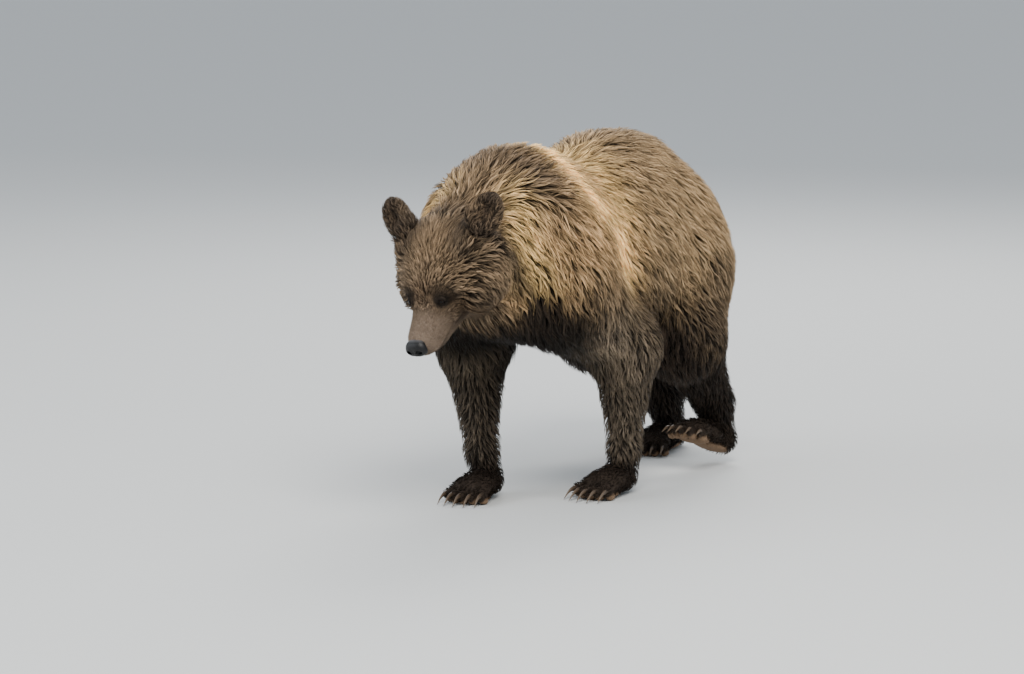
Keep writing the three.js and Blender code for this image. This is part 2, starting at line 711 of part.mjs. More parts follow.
// A claw curves out and down from the end of its toe.
function claw(leg, i) {
  const { place } = pawFrame(leg);
  const size = leg.fore ? CLAW_LENGTH_FORE : CLAW_LENGTH_HIND;
  const [x, y] = [TOE_SPREAD[i], TOE_REACH[i]];
  const points = [];
  const sizes = [];
  const steps = 3;
  for (let k = 0; k <= steps; k++) {
    const t = k / steps;
    const out = -12 + (size + 12) * t;
    const drop = leg.fore ? 24 * t * t : 18 * t * t;
    points.push(place([x * (1 + 0.1 * t), y - 14 - out * 0.86, 27 + 6 * Math.sin(Math.PI * t) - drop]));
    sizes.push(7.5 * (1 - 0.86 * t ** 1.4));
  }
  return sweep(points, sizes, 1.25);
}

// ---- The pieces ----
const PAINT = {
  coat: ["#6b4f37", 0.9],
  dark_coat: ["#3b2c22", 0.9],
  muzzle: ["#7b6553", 0.85],
  nose: ["#2a2625", 0.45],
  eye: ["#120c09", 0.1],
  claw: ["#3a322b", 0.5],
};
const bear = new THREE.Group();

function addPiece(name, solid, paint) {
  const mesh = largest(solid).getMesh();
  const geometry = new THREE.BufferGeometry();
  geometry.setAttribute("position", new THREE.Float32BufferAttribute(foldsApart(mesh), 3));
  geometry.setIndex(new THREE.BufferAttribute(mesh.triVerts, 1));
  geometry.computeVertexNormals();
  const [color, roughness] = PAINT[paint];
  const piece = new THREE.Mesh(geometry, new THREE.MeshStandardMaterial({ color, roughness, metalness: 0 }));
  piece.name = name;
  bear.add(piece);
}

const trunkCore = coreOf(TRUNK);
const HEAD_MASSES = [...MASSES.head, ...MASSES.trunk];
const legCells = Object.values(LEGS).map((leg) => legCell(leg));
const legBlocks = legCells.map((cell) => cellOf(cell, -GAP / 2));
const withoutLegs = (solid) => legBlocks.reduce((a, cell) => a.subtract(cell), solid);

// Head
const eyeballs = EYES.map(({ centre }) => sphere(centre, EYE_RADIUS, 1));
const sockets = EYES.map(({ centre }) => sphere(centre, EYE_RADIUS + GAP + 0.25, 1));
const ears = [ear(-1), ear(1)];
const nosePad = nose();
const headPlanes = [HEAD_CUT, flip(MUZZLE_CUT)];
const headBounds = [[-300, -1010, 380], [290, -420, 1080]];
const clearOfEars = (p) => EARS.every((root) => length(add(p, root, -1)) > 95);
const clearOfLegs = (p) => legCells.every((cell) => !within(cell, p, -6));
let head = carve(coreOf(HEAD_MASSES), ...headBounds, HEAD_STEP, headPlanes);
const onCheeks = (p) => clearOfEars(p) && within(headPlanes, p, 4);
const cheekLocks = locksOver(head, HEAD_MASSES, CHEEK_LOCKS, onCheeks);

const trunkBounds = [[-460, -1000, 200], [460, 860, 1220]];
const trunkForm = carve(trunkCore, ...trunkBounds, TRUNK_STEP, [flip(HEAD_CUT)]);
const behindHead = (p) => clearOfLegs(p) && within([flip(HEAD_CUT)], p, 4);
const coat = [...cheekLocks, ...locksOver(trunkForm, TRUNK, LOCKS, behindHead, cheekLocks)];
head = withLocks(head, headPlanes, coat);
for (const eye of EYES) {
  const { rim, opening } = lids(eye);
  head = head.add(rim).subtract(opening);
}
head = head.intersect(halfSpace(flip(MUZZLE_CUT)));
for (const piece of [...sockets, ...ears.map((e) => grown(e, GAP))]) head = head.subtract(piece);
addPiece("head", head, "coat");

const snoutBounds = [[-130, -980, 420], [120, -660, 800]];
const muzzle = carve(headField, ...snoutBounds, MUZZLE_STEP, [MUZZLE_CUT, MOUTH_CUT]);
addPiece("muzzle", muzzle.subtract(grown(nosePad, GAP)), "muzzle");
const jaw = carve(headField, ...snoutBounds, MUZZLE_STEP, [MUZZLE_CUT, flip(MOUTH_CUT)]);
addPiece("lower_jaw", jaw, "muzzle");
addPiece("nose", nosePad, "nose");
["right", "left"].forEach((side, i) => {
  addPiece(`${side}_eye`, eyeballs[i], "eye");
  addPiece(`${side}_ear`, ears[i], "dark_coat");
});

// Neck and trunk
function trunkPiece(name, lo, hi, step, planes, trim = (solid) => solid) {
  const core = carve(trunkCore, lo, hi, step, planes);
  addPiece(name, trim(withoutLegs(withLocks(core, planes, coat))), "coat");
}

const tail = carve(TAIL.distance, [-60, 510, 620], [60, 700, 850], TAIL_STEP, []);
trunkPiece("neck", [-440, -1000, 300], [430, -240, 1240], NECK_STEP, [flip(HEAD_CUT), NECK_CUT]);
trunkPiece("chest", [-460, -920, 240], [460, 140, 1220], TRUNK_STEP, [
  flip(NECK_CUT), flip(HEAD_CUT), CHEST_CUT,
]);
trunkPiece("barrel", [-460, -400, 240], [460, 470, 1220], TRUNK_STEP, [flip(CHEST_CUT), BARREL_CUT]);
trunkPiece("rump", [-460, -60, 240], [460, 860, 1220], TRUNK_STEP, [flip(BARREL_CUT)], (solid) =>
  solid.subtract(grown(tail, GAP)),
);
addPiece("tail", tail, "coat");

// Legs
for (const [name, leg] of Object.entries(LEGS)) {
  const own = outlineOf(MASSES[name]);
  const masses = [...MASSES.trunk, ...MASSES[name]];
  const { knee, ankle } = legCuts(leg);
  const [, bend, end] = leg.joints;
  const x = leg.side > 0 ? [-180, 480] : [-480, 180];
  const planes = [...legCell(leg), knee];
  const [low, high] = [[x[0], bend[1] - 500, 80], [x[1], bend[1] + 480, 860]];
  const upper = carve(coreOf(masses), low, high, UPPER_LEG_STEP, planes);
  const legLocks = locksOver(upper, masses, LOCKS, (p) => within(planes, p, 6), coat, [knee]);
  addPiece(`${name}_upper`, withLocks(upper, planes, [...coat, ...legLocks]), "coat");
  const lo = [0, 1, 2].map((i) => Math.min(bend[i], end[i], leg.sole[i]) - 260);
  const hi = [0, 1, 2].map((i) => Math.max(bend[i], end[i], leg.sole[i]) + 260);
  addPiece(`${name}_lower`, carve(own, lo, hi, LOWER_LEG_STEP, [flip(knee), ankle]), "dark_coat");
  const [from, to] = [add(leg.sole, [170, 260, 110], -1), add(leg.sole, [170, 260, 220])];
  let foot = carve(own, from, to, FOOT_STEP, leg.toesUp ? [flip(ankle)] : [flip(ankle), FLOOR]);
  const claws = TOE_SPREAD.map((_, i) => claw(leg, i));
  for (const piece of claws) foot = foot.subtract(grown(piece, GAP));
  addPiece(`${name}_foot`, foot, "dark_coat");
  claws.forEach((piece, i) => addPiece(`${name}_claw_${i + 1}`, piece, "claw"));
}

// The origin is in the middle of the underside of the bear's box.
const box = new THREE.Box3().setFromObject(bear);
const middle = box.getCenter(new THREE.Vector3());
bear.position.set(-middle.x, -middle.y, 0);

export default bear;
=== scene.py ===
"""A walking grizzly bear at life size: skin, coat, eyes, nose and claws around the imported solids.

Everything is in metres, +Z up. The bear walks towards -Y with its head lowered; its left side is +X.
The body is the same blended form as the solids: lumps and bars, each with the depth of its coat, the way
the coat lies and its colour. The skin is that form drawn in by the coat, and every hair tuft grows from it.
"""

import math

import bmesh
import bpy
import numpy as np
from mathutils import Matrix, Vector, kdtree


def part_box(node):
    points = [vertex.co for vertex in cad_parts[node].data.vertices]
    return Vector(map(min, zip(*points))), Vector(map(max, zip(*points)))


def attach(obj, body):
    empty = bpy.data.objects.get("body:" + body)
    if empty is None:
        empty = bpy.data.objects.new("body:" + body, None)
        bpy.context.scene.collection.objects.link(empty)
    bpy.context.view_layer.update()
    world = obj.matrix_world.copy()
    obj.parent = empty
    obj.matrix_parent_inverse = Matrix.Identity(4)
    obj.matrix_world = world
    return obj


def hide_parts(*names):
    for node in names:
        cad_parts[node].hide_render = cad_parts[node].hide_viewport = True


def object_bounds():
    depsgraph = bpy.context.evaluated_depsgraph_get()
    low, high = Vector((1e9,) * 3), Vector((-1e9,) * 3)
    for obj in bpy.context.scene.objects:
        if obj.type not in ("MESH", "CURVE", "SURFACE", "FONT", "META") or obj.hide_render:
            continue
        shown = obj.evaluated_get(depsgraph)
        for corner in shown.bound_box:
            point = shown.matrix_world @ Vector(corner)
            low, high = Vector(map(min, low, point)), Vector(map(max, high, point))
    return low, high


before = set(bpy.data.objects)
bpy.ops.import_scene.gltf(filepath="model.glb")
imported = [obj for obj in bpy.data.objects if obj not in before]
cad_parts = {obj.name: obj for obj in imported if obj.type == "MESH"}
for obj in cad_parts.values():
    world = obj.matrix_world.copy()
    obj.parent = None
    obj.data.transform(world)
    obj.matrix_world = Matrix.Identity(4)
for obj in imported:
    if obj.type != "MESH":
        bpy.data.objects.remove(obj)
cad_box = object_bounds()
rng = np.random.default_rng(1871)

# ---- Driving sizes, the same as those of the solids ----
SHOULDER_HEIGHT = 1.05
TRUNK_LENGTH = 1.25
TRUNK_WIDTH = 0.59
HEAD_LENGTH = 0.43
HEAD_PITCH = math.radians(50)
HEAD_ROLL = math.radians(8)
HEAD_CENTRE = np.array([-0.008, -0.716, 0.742])
EYE_RADIUS = 0.0125
EYEBALL = 0.95  # an eyeball's radius against that of its socket
EYE_SUNK = 0.86  # how far an eye's centre lies under the coat's outline, in its radii
CLAW_LENGTH = {True: 0.062, False: 0.038}  # fore and hind


# ---- Colours, as sRGB ----
def rgb(text):
    """A colour such as 6b4f37 as linear red, green and blue."""
    values = np.array([int(text[i : i + 2], 16) for i in (0, 2, 4)]) / 255
    return np.where(values < 0.04045, values / 12.92, ((values + 0.055) / 1.055) ** 2.4)


BROWN = rgb("c0a582")
GOLD = rgb("caa981")
BLOND = rgb("fbd898")
DARK = rgb("7a6a58")
RUFF = rgb("544a40")
WET = rgb("352d27")
BLACK = rgb("211b17")
ARM = rgb("8c7f70")
MUZZLE = rgb("8a7a6c")
FACE = rgb("87745f")
CREST = rgb("63554a")
EAR = rgb("483e36")
BRIDGE = rgb("6a5847")
PAD = rgb("7a6450")
LID = rgb("120e0c")


# ---- Vector helpers on rows of points ----
def unit(v):
    v = np.asarray(v, float)
    return v / np.maximum(np.linalg.norm(v, axis=-1, keepdims=True), 1e-12)


def smoothstep(x, low, high):
    t = np.clip((x - low) / (high - low), 0, 1)
    return t * t * (3 - 2 * t)


def bell(x, width, power=2):
    """1 at 0, and falling to 0 about a width away from it."""
    return np.exp(-(np.abs(x / width) ** power))


def smooth_min(a, b, blend):
    h = np.maximum(blend - np.abs(a - b), 0) / blend
    return np.minimum(a, b) - h * h * blend / 4


def mirror(p):
    return [-p[0], p[1], p[2]]


# ---- Masses ----
BACK = [0, 1, -0.25]
DOWN = [0, 0.35, -1]
BODY, HEAD, SNOUT, LOWER_LEG, PAW = range(5)  # parts of the coat


def ball(at, radii, axes=None, **look):
    """An ellipsoid along three unit directions."""
    axes = np.eye(3) if axes is None else np.array(axes)
    return {"at": np.array(at, float), "radii": np.array(radii, float), "axes": axes, **look}


def bar(start, end, radii, **look):
    """A round bar that tapers."""
    return {"at": np.array(start, float), "along": np.array(end, float) - start, "radii": radii, **look}


def distance(mass, p):
    q = p - mass["at"]
    radii = mass["radii"]
    if "along" in mass:
        along = mass["along"]
        t = np.clip(q @ along / (along @ along), 0, 1)
        return np.linalg.norm(q - t[:, None] * along, axis=1) - (radii[0] + (radii[1] - radii[0]) * t)
    shares = (q @ mass["axes"].T) / radii
    near = np.linalg.norm(shares, axis=1)
    far = np.linalg.norm(shares / radii, axis=1)
    return near * (near - 1) / np.maximum(far, 1e-9)


# ---- Head frame: u to the bear's left, v forward along the muzzle, w up from the brow ----
FOREHEAD = np.array([0, -math.sin(HEAD_PITCH), math.cos(HEAD_PITCH)])
HEAD_AXES = np.array([
    np.array([math.cos(HEAD_ROLL), 0, 0]) + FOREHEAD * math.sin(HEAD_ROLL),
    [0, -math.cos(HEAD_PITCH), -math.sin(HEAD_PITCH)],
    np.array([-math.sin(HEAD_ROLL), 0, 0]) + FOREHEAD * math.cos(HEAD_ROLL),
])
HEAD_UNIT = HEAD_LENGTH / 0.41


def on_head(u, v, w):
    """A point in the head's frame, in thousandths of a metre on a head of standard length."""
    return HEAD_CENTRE + np.array([u, v, w]) * 0.001 * HEAD_UNIT @ HEAD_AXES


def in_head(p):
    """The head's own coordinates of points."""
    return (p - HEAD_CENTRE) @ HEAD_AXES.T / (0.001 * HEAD_UNIT)


def head_direction(u, v, w):
    return unit(np.array([u, v, w]) @ HEAD_AXES)


def trunk_masses():
    scale = np.array([TRUNK_WIDTH, TRUNK_LENGTH, SHOULDER_HEIGHT])
    usual = {"blend": 0.11, "coat": 0.044, "lie": [0, 0.68, -0.85], "colour": BROWN, "part": BODY}

    def lump(at, radii, **look):
        return ball(at * scale, radii * scale, **{**usual, **look})

    def pair(at, radii, **look):
        return [lump(at, radii, **look), lump(mirror(at), radii, **look)]

    return [
        lump([0, -0.205, 0.695], [0.42, 0.26, 0.254], lie=[0, 0.65, -0.9], colour=GOLD),  # ribs
        lump([0, -0.3, 0.79], [0.19, 0.16, 0.2], coat=0.052, lie=BACK, travel=0.4, colour=DARK),  # hump
        *pair([0.25, -0.31, 0.665], [0.19, 0.13, 0.21], lie=[0, 0.5, -0.95], colour=GOLD),  # shoulder blades
        lump([0, 0.115, 0.703], [0.43, 0.26, 0.29]),  # loins
        lump([0, 0.05, 0.6], [0.42, 0.25, 0.215], coat=0.048, colour=DARK),  # belly
        lump([0, 0.265, 0.702], [0.325, 0.205, 0.247]),  # croup
        *pair([0.225, 0.335, 0.575], [0.215, 0.165, 0.25], lie=DOWN, colour=BROWN),  # haunches
        lump([0, -0.4, 0.65], [0.24, 0.1, 0.13], lie=DOWN, coat=0.048, colour=DARK),  # breast
    ]


def neck_masses():
    look = {"blend": 0.11, "coat": 0.046, "part": BODY}
    return [
        bar([0, -0.47, 0.79], on_head(0, -60, -20), [0.215, 0.132], lie=[0, 0.5, -1], colour=GOLD, **look),
        bar([0, -0.49, 0.712], on_head(0, -20, -60), [0.155, 0.096], lie=DOWN, colour=DARK, **look),
    ]


def head_masses():
    usual = {"blend": 0.034, "coat": 0.016, "lie": head_direction(0, -1, 0.1), "colour": FACE, "part": HEAD}
    snout = {"colour": MUZZLE, "part": SNOUT}

    def lump(at, radii, **look):
        return ball(on_head(*at), np.array(radii) * 0.001 * HEAD_UNIT, HEAD_AXES, **{**usual, **look})

    def pair(at, radii, lie=None, **look):
        made = []
        for side in (1, -1):
            own = {} if lie is None else {"lie": head_direction(lie[0] * side, lie[1], lie[2])}
            made.append(lump([at[0] * side, at[1], at[2]], radii, **look, **own))
        return made

    def rod(start, end, radii, **look):
        ends = [r * 0.001 * HEAD_UNIT for r in radii]
        return bar(on_head(*start), on_head(*end), ends, **{**usual, **look})

    return [
        lump([0, -10, 5], [150, 124, 102]),  # brain case
        lump([0, 72, 22], [107, 80, 62]),  # forehead
        *pair([98, -26, 32], [60, 64, 62], lie=[0.6, -0.8, 0], coat=0.022),  # ear bases
        *pair([86, 18, -38], [78, 106, 84], lie=[0.9, -0.2, -0.45], coat=0.027),  # cheeks
        *pair([60, -70, -60], [80, 90, 90], lie=[0.3, -0.1, -1], coat=0.038, colour=RUFF),  # ruff
        *pair([44, 104, 26], [26, 34, 24], lie=[0.4, -0.9, 0.2], coat=0.008, blend=0.026),  # brow ridges
        rod([0, 96, -14], [0, 232, -16], [74, 42], coat=0.005, **snout),
        lump([0, 226, -2], [33, 50, 31], coat=0.004, blend=0.02, **snout),  # end of the muzzle
        *pair([22, 206, -40], [20, 48, 24], coat=0.004, blend=0.018, **snout),  # upper lips
        lump([0, 230, -29], [29, 46, 26], coat=0.004, blend=0.018, **snout),  # front of the lip
        rod([0, 60, -84], [0, 198, -66], [52, 25], coat=0.01, **snout),  # lower jaw
    ]


# ---- Legs ----
LEGS = {
    "left_fore": dict(
        fore=True, side=1, joints=[[0.17, -0.37, 0.64], [0.212, -0.1, 0.44], [0.186, -0.05, 0.13]],
        sole=[0.168, -0.085, 0], heading=6, toes_up=0,
    ),
    "right_fore": dict(
        fore=True, side=-1, joints=[[-0.17, -0.38, 0.64], [-0.198, -0.265, 0.44], [-0.15, -0.3, 0.13]],
        sole=[-0.135, -0.33, 0], heading=-4, toes_up=0,
    ),
    "left_hind": dict(
        fore=False, side=1, joints=[[0.15, 0.37, 0.6], [0.2, 0.29, 0.42], [0.198, 0.5, 0.19]],
        sole=[0.195, 0.425, 0.066], heading=4, toes_up=20,
    ),
    "right_hind": dict(
        fore=False, side=-1, joints=[[-0.15, 0.4, 0.6], [-0.18, 0.42, 0.41], [-0.075, 0.69, 0.16]],
        sole=[-0.062, 0.64, 0], heading=-6, toes_up=0,
    ),
}
TOES = [(-0.054, -0.098), (-0.028, -0.114), (0, -0.12), (0.028, -0.114), (0.054, -0.098)]


def paw_axes(leg):
    """A paw's directions: x to the bear's left, y towards the heel, z up from the sole."""
    heading = Matrix.Rotation(-math.radians(leg["heading"]), 3, "Z")
    tilt = Matrix.Rotation(-math.radians(leg["toes_up"]), 3, "X")
    return np.array((heading @ tilt).transposed())


def on_paw(leg, x, y, z):
    return np.array(leg["sole"]) + np.array([x, y, z]) @ paw_axes(leg)


def leg_masses(leg):
    root, middle, end = leg["joints"]
    axes = paw_axes(leg)
    shank = {"lie": DOWN, "colour": WET, "part": LOWER_LEG}
    paw = {"blend": 0.026, "coat": 0.009, "lie": -axes[1], "colour": BLACK, "part": PAW}
    if leg["fore"]:
        radii = [0.13, 0.102, 0.05, 0.046]
        heel = [0, 0.045, 0.06]
        lumps = [([0, 0.03, 0.044], [0.056, 0.052, 0.046]), ([0, -0.025, 0.042], [0.066, 0.062, 0.042])]
    else:
        radii = [0.15, 0.12, 0.062, 0.05]
        heel = [0, 0.095, 0.052]
        lumps = [([0, 0.09, 0.044], [0.056, 0.06, 0.046]), ([0, -0.005, 0.042], [0.066, 0.092, 0.042])]
    lumps.append(([0, -0.07, 0.034], [0.07, 0.04, 0.034]))
    return [
        bar(root, middle, radii[:2], blend=0.09, coat=0.034, lie=DOWN, colour=DARK, part=BODY),
        bar(middle, end, radii[1:3], blend=0.06, coat=0.016, **shank),
        bar(end, on_paw(leg, *heel), radii[2:], blend=0.034, coat=0.014, **shank),
        *[ball(on_paw(leg, *at), sizes, axes, **paw) for at, sizes in lumps],
    ]


def toe_masses(leg):
    axes = paw_axes(leg)
    look = {"blend": 0.009, "coat": 0.006, "lie": -axes[1], "colour": BLACK, "part": PAW}
    return [ball(on_paw(leg, x, y, 0.024), [0.017, 0.03, 0.024], axes, **look) for x, y in TOES]


TAIL = bar(
    [0, 0.556, 0.775], [0, 0.612, 0.664], [0.034, 0.02],
    blend=0.02, coat=0.03, lie=[0, 0.6, -0.8], colour=DARK, part=BODY,
)
MASSES = [*trunk_masses(), *neck_masses(), *head_masses()]
for leg in LEGS.values():
    MASSES += [*leg_masses(leg), *toe_masses(leg)]
MASSES.append(TAIL)
LIES = unit([mass["lie"] for mass in MASSES])
COATS = np.array([mass["coat"] for mass in MASSES])
# How far a tuft travels over the skin, against its length.
TRAVELS = np.array([mass.get("travel", 1.0) for mass in MASSES])
COLOURS = np.array([mass["colour"] for mass in MASSES])
MASS_PARTS = np.array([mass["part"] for mass in MASSES])


CHUNK = 60000  # how many points are worked on at a time


def in_chunks(work, p):
    """Runs work over rows of points a part at a time, and joins what it returns."""
    parts = [work(p[i : i + CHUNK]) for i in range(0, len(p), CHUNK)]
    if isinstance(parts[0], tuple):
        return tuple(np.concatenate(column) for column in zip(*parts))
    return np.concatenate(parts)


def folded(distances):
    """The blended outline from each mass's distance."""
    field = np.full(distances.shape[1], 10.0)
    for mass, values in zip(MASSES, distances):
        field = smooth_min(field, values, mass["blend"])
    return field


SHARE_SPREAD = 0.022  # how far a mass's looks run over into its neighbours'


def shares_of(distances):
    """How much each mass counts at a point."""
    weights = np.exp(np.maximum((distances.min(0) - distances) / SHARE_SPREAD, -60))
    return weights / weights.sum(0)


def head_outline(p):
    """The head and the trunk, without the legs."""
    field = np.full(len(p), 10.0)
    for mass in [*head_masses(), *trunk_masses(), *neck_masses()]:
        field = smooth_min(field, distance(mass, p), mass["blend"])
    return field


# ---- Eyes and ears ----
def on_outline(inside, direction):
    """The point where a line from inside the head leaves it, by halving."""
    near, far = 0.0, 0.4
    for _ in range(30):
        middle = (near + far) / 2
        if head_outline((inside + direction * middle)[None])[0] < 0:
            near = middle
        else:
            far = middle
    return inside + direction * near


def normals_of(field, p, d=0.002):
    steps = np.eye(3) * d
    return unit(np.stack([field(p + step) - field(p - step) for step in steps], axis=1))


def eye_at(side):
    """An eye's centre, and its directions: along the lids, across them and out."""
    surface = on_outline(on_head(26 * side, 142, 0), head_direction(0.62 * side, 0.2, 0.76))
    out = normals_of(head_outline, surface[None])[0]
    inner = head_direction(-0.84 * side, 0.16, 0.52)
    along = unit(inner - out * (inner @ out))
    return {
        "centre": surface - out * EYE_RADIUS * EYE_SUNK,
        "axes": np.array([along, unit(np.cross(out, along)), out]),
    }


def ear_at(side):
    """An ear's root, and its directions: across, forward and up."""
    root = on_outline(on_head(94 * side + 13, -34, 50), head_direction(0.68 * side, -0.25, 0.7))
    up = unit([0.36 * side, -0.06, 0.9])
    facing = np.array([0.1 * side, -0.95, 0])
    front = unit(facing - up * (facing @ up))
    return {
        "root": root + up * 0.001 * (11 * side - 3),
        "side": side,
        "axes": np.array([np.cross(front, up), front, up]),
    }


EYES = {"right": eye_at(-1), "left": eye_at(1)}
EARS = {"right": ear_at(-1), "left": ear_at(1)}

# The solids' origin is in the middle of their box. The eyes say how far that moved the bear.
lowest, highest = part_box("left_eye")
SHIFT = (np.array(lowest) + np.array(highest)) / 2 - EYES["left"]["centre"]
SHIFT[2] = 0


def ear_point(ear, x, y, z):
    return ear["root"] + np.array([x, y, z]) * 0.001 @ ear["axes"]


def ear_distance(ear, p):
    """The flesh of an ear: a thin upright shell, hollowed in front, on a stout foot, with an inner lobe."""
    side = ear["side"]
    forms = [
        ([0, -2, 39], [0.038, 0.018, 0.053]),
        ([8 * side, -5, -1], [0.032, 0.024, 0.035]),
        ([36 * side, 4, 16], [0.019, 0.016, 0.024]),
        ([0, 25, 47], [0.029, 0.03, 0.036]),
    ]
    shell, foot, lobe, cup = [
        distance(ball(ear_point(ear, *at), radii, ear["axes"]), p) for at, radii in forms
    ]
    return smooth_min(np.maximum(smooth_min(shell, foot, 0.012), -cup), lobe, 0.012)


# ---- The skin: the outline drawn in by the coat, or by the dense fur under long locks ----
LONG_COAT = (0.016, 0.026)  # over these depths the share of dense fur grows from none to half
SKIN_FLOOR = 0.0005  # the lowest that the skin reaches


def mouth_level(v):
    """How high the line between the lips lies, in the head's thousandths."""
    return -60 + 0.12 * (v - 158)


def coat_depths(p, shares):
    """The coat's full depth over points, thinner at the eyes."""
    depth = shares.T @ COATS
    for eye in EYES.values():
        depth *= 1 - 0.7 * bell(np.linalg.norm(p - eye["centre"], axis=1), 0.019, 4)
    return depth


def rise_of(depth):
    """How far the tips stand over the skin: the whole coat, or what a long coat has over its dense fur."""
    return depth * (1 - 0.5 * smoothstep(depth, *LONG_COAT))


def skin_field(p):
    distances = np.array([distance(mass, p) for mass in MASSES])
    shares = shares_of(distances)
    field = folded(distances) + rise_of(coat_depths(p, shares))
    u, v, w = in_head(p).T
    # The line of the mouth, with a lip above and below it.
    gap = w - mouth_level(v)
    lips = smoothstep(v, 112, 124) * (np.abs(u) < 90)
    field += lips * (0.0055 * bell(gap, 2.2) - 0.0016 * bell(np.abs(gap) - 7, 4))
    # The groove under the nose.
    field += 0.003 * bell(u, 2.2) * smoothstep(v, 245, 262) * (gap > 0)
    for eye in EYES.values():
        change_near(field, p, eye["centre"], 0.06, lambda q, old: around_eye(eye, q, old))
    for ear in EARS.values():
        middle = ear_point(ear, 0, 0, 30)
        change_near(field, p, middle, 0.15, lambda q, old: smooth_min(old, ear_distance(ear, q), 0.01))
    for pad in PADS:
        change_near(field, p, pad["at"], 0.13, lambda q, old: smooth_min(old, distance(pad, q), 0.004))
    return np.maximum(field, SKIN_FLOOR - p[:, 2])


def change_near(field, p, centre, reach, change):
    """Gives the field new values at the points that are near a centre."""
    near = np.linalg.norm(p - centre, axis=1) < reach
    if near.any():
        field[near] = change(p[near], field[near])


def in_eye(eye, p):
    """An eye's own coordinates of points, in its radii."""
    return (p - eye["centre"]) @ eye["axes"].T / EYE_RADIUS


def around_eye(eye, p, field):
    """Lids: a low rim round the eye, split by an almond opening, with a fold above it."""
    local = in_eye(eye, p)
    x, y, z = local.T
    rim = distance(ball([0, 0, 0], [1.36, 1.06, 0.98]), local) * EYE_RADIUS
    field = smooth_min(field, rim, 0.01)
    # Two round edges that cross make the almond.
    half, arc = 0.96, 1.37
    almond = np.maximum(np.hypot(x, y - half), np.hypot(x, y + half)) - arc
    ball_face = np.linalg.norm(local, axis=1) - 0.9
    hollow = np.maximum(np.where(z > 0, almond, 1.0), -ball_face) * EYE_RADIUS
    fold = bell(np.hypot(x / 1.3, y) - 1.3, 0.13) * (z > 0) * smoothstep(np.abs(y), 0.2, 0.8)
    return np.maximum(field, -hollow) + 0.0007 * fold


def pad_masses(leg):
    """The bare pads of a sole and of its toes."""
    axes = paw_axes(leg)
    pads = [ball(on_paw(leg, 0, -0.052, 0.012), [0.052, 0.03, 0.012], axes)]
    if not leg["fore"]:
        pads.append(ball(on_paw(leg, 0, 0.045, 0.012), [0.042, 0.082, 0.0115], axes))
    for x, y in TOES:
        pads.append(ball(on_paw(leg, x, y + 0.006, 0.011), [0.0125, 0.016, 0.011], axes))
    return pads


PADS = [pad for leg in LEGS.values() for pad in pad_masses(leg)]


# ---- Surface nets: one corner in each cell of a grid that the surface crosses ----
CELL_CORNERS = [(i, j, k) for i in (0, 1) for j in (0, 1) for k in (0, 1)]
COARSE = 4  # how many fine cells a coarse one spans
NEAR_SURFACE = 1.05  # how near to the surface the fine values are worked out, in coarse cells


def shifted(grid, start, shape):
    return grid[tuple(slice(a, a + n) for a, n in zip(start, shape))]


def enlarged(grid):
    return grid.repeat(COARSE, 0).repeat(COARSE, 1).repeat(COARSE, 2)


def band_values(field, low, counts, step):
    """The field at the corners of a fine grid, worked out only near the surface."""
    blocks = np.array([-(-n // COARSE) for n in counts])
    rough = np.stack(np.meshgrid(*[np.arange(b + 1) for b in blocks], indexing="ij"), -1).reshape(-1, 3)
    values = in_chunks(field, low + rough * step * COARSE).reshape(blocks + 1)
    stack = [shifted(values, corner, blocks) for corner in CELL_CORNERS]
    near = np.min(np.abs(stack), axis=0) < step * COARSE * NEAR_SURFACE
    near |= (np.min(stack, axis=0) < 0) != (np.max(stack, axis=0) < 0)
    fine = np.ones(blocks * COARSE + 1, np.float32)
    fine[:-1, :-1, :-1] = enlarged(stack[0])
    mask = np.zeros(fine.shape, bool)
    wide = enlarged(near)
    for corner in CELL_CORNERS:
        shifted(mask, corner, wide.shape)[...] |= wide
    spots = np.argwhere(mask)
    fine[tuple(spots.T)] = in_chunks(field, low + spots * step)
    return fine


def surface_nets(field, low, high, step):
    """Corners and four-sided faces of the surface where the field is 0."""
    low, high = np.array(low, float), np.array(high, float)
    values = band_values(field, low, np.ceil((high - low) / step).astype(int), step)
    inside = values < 0
    shape = np.array(values.shape) - 1
    count = sum(shifted(inside, corner, shape).astype(np.int8) for corner in CELL_CORNERS)
    cells = np.argwhere((count > 0) & (count < 8))
    at_corner = {corner: values[tuple((cells + corner).T)] for corner in CELL_CORNERS}
    total = np.zeros((len(cells), 3))
    crossings = np.zeros(len(cells))
    units = np.eye(3, dtype=int)
    for a in CELL_CORNERS:
        for ahead in units:
            b = tuple(a + ahead)
            if b not in at_corner:
                continue
            va, vb = at_corner[a], at_corner[b]
            crosses = (va < 0) != (vb < 0)
            t = np.where(crosses, va / np.where(crosses, va - vb, 1), 0)
            total += (np.array(a, float) + t[:, None] * ahead) * crosses[:, None]
            crossings += crosses
    points = low + (cells + total / crossings[:, None]) * step
    index = np.full(shape, -1, np.int64)
    index[tuple(cells.T)] = np.arange(len(cells))
    faces = []
    for axis in range(3):
        ahead, first, second = units[axis], units[(axis + 1) % 3], units[(axis + 2) % 3]
        here = inside[:-1, :-1, :-1]
        there = shifted(inside, ahead, shape)
        spots = np.argwhere(here != there)
        spots = spots[(spots >= first + second).all(1) & (spots < shape).all(1)]
        ring = np.stack([
            index[tuple((spots - s * first - t * second).T)] for s, t in ((0, 0), (1, 0), (1, 1), (0, 1))
        ], 1)
        turn = ~here[tuple(spots.T)]
        ring[turn] = ring[turn][:, ::-1]
        faces.append(ring)
    return points, np.concatenate(faces)


def onto(field, p, times=2, reach=0.004):
    """Points moved onto the surface where the field is 0."""
    for _ in range(times):
        off = in_chunks(field, p)
        slopes = in_chunks(lambda q: normals_of(field, q, 0.0008), p)
        p = p - slopes * np.clip(off, -reach, reach)[:, None]
    return p


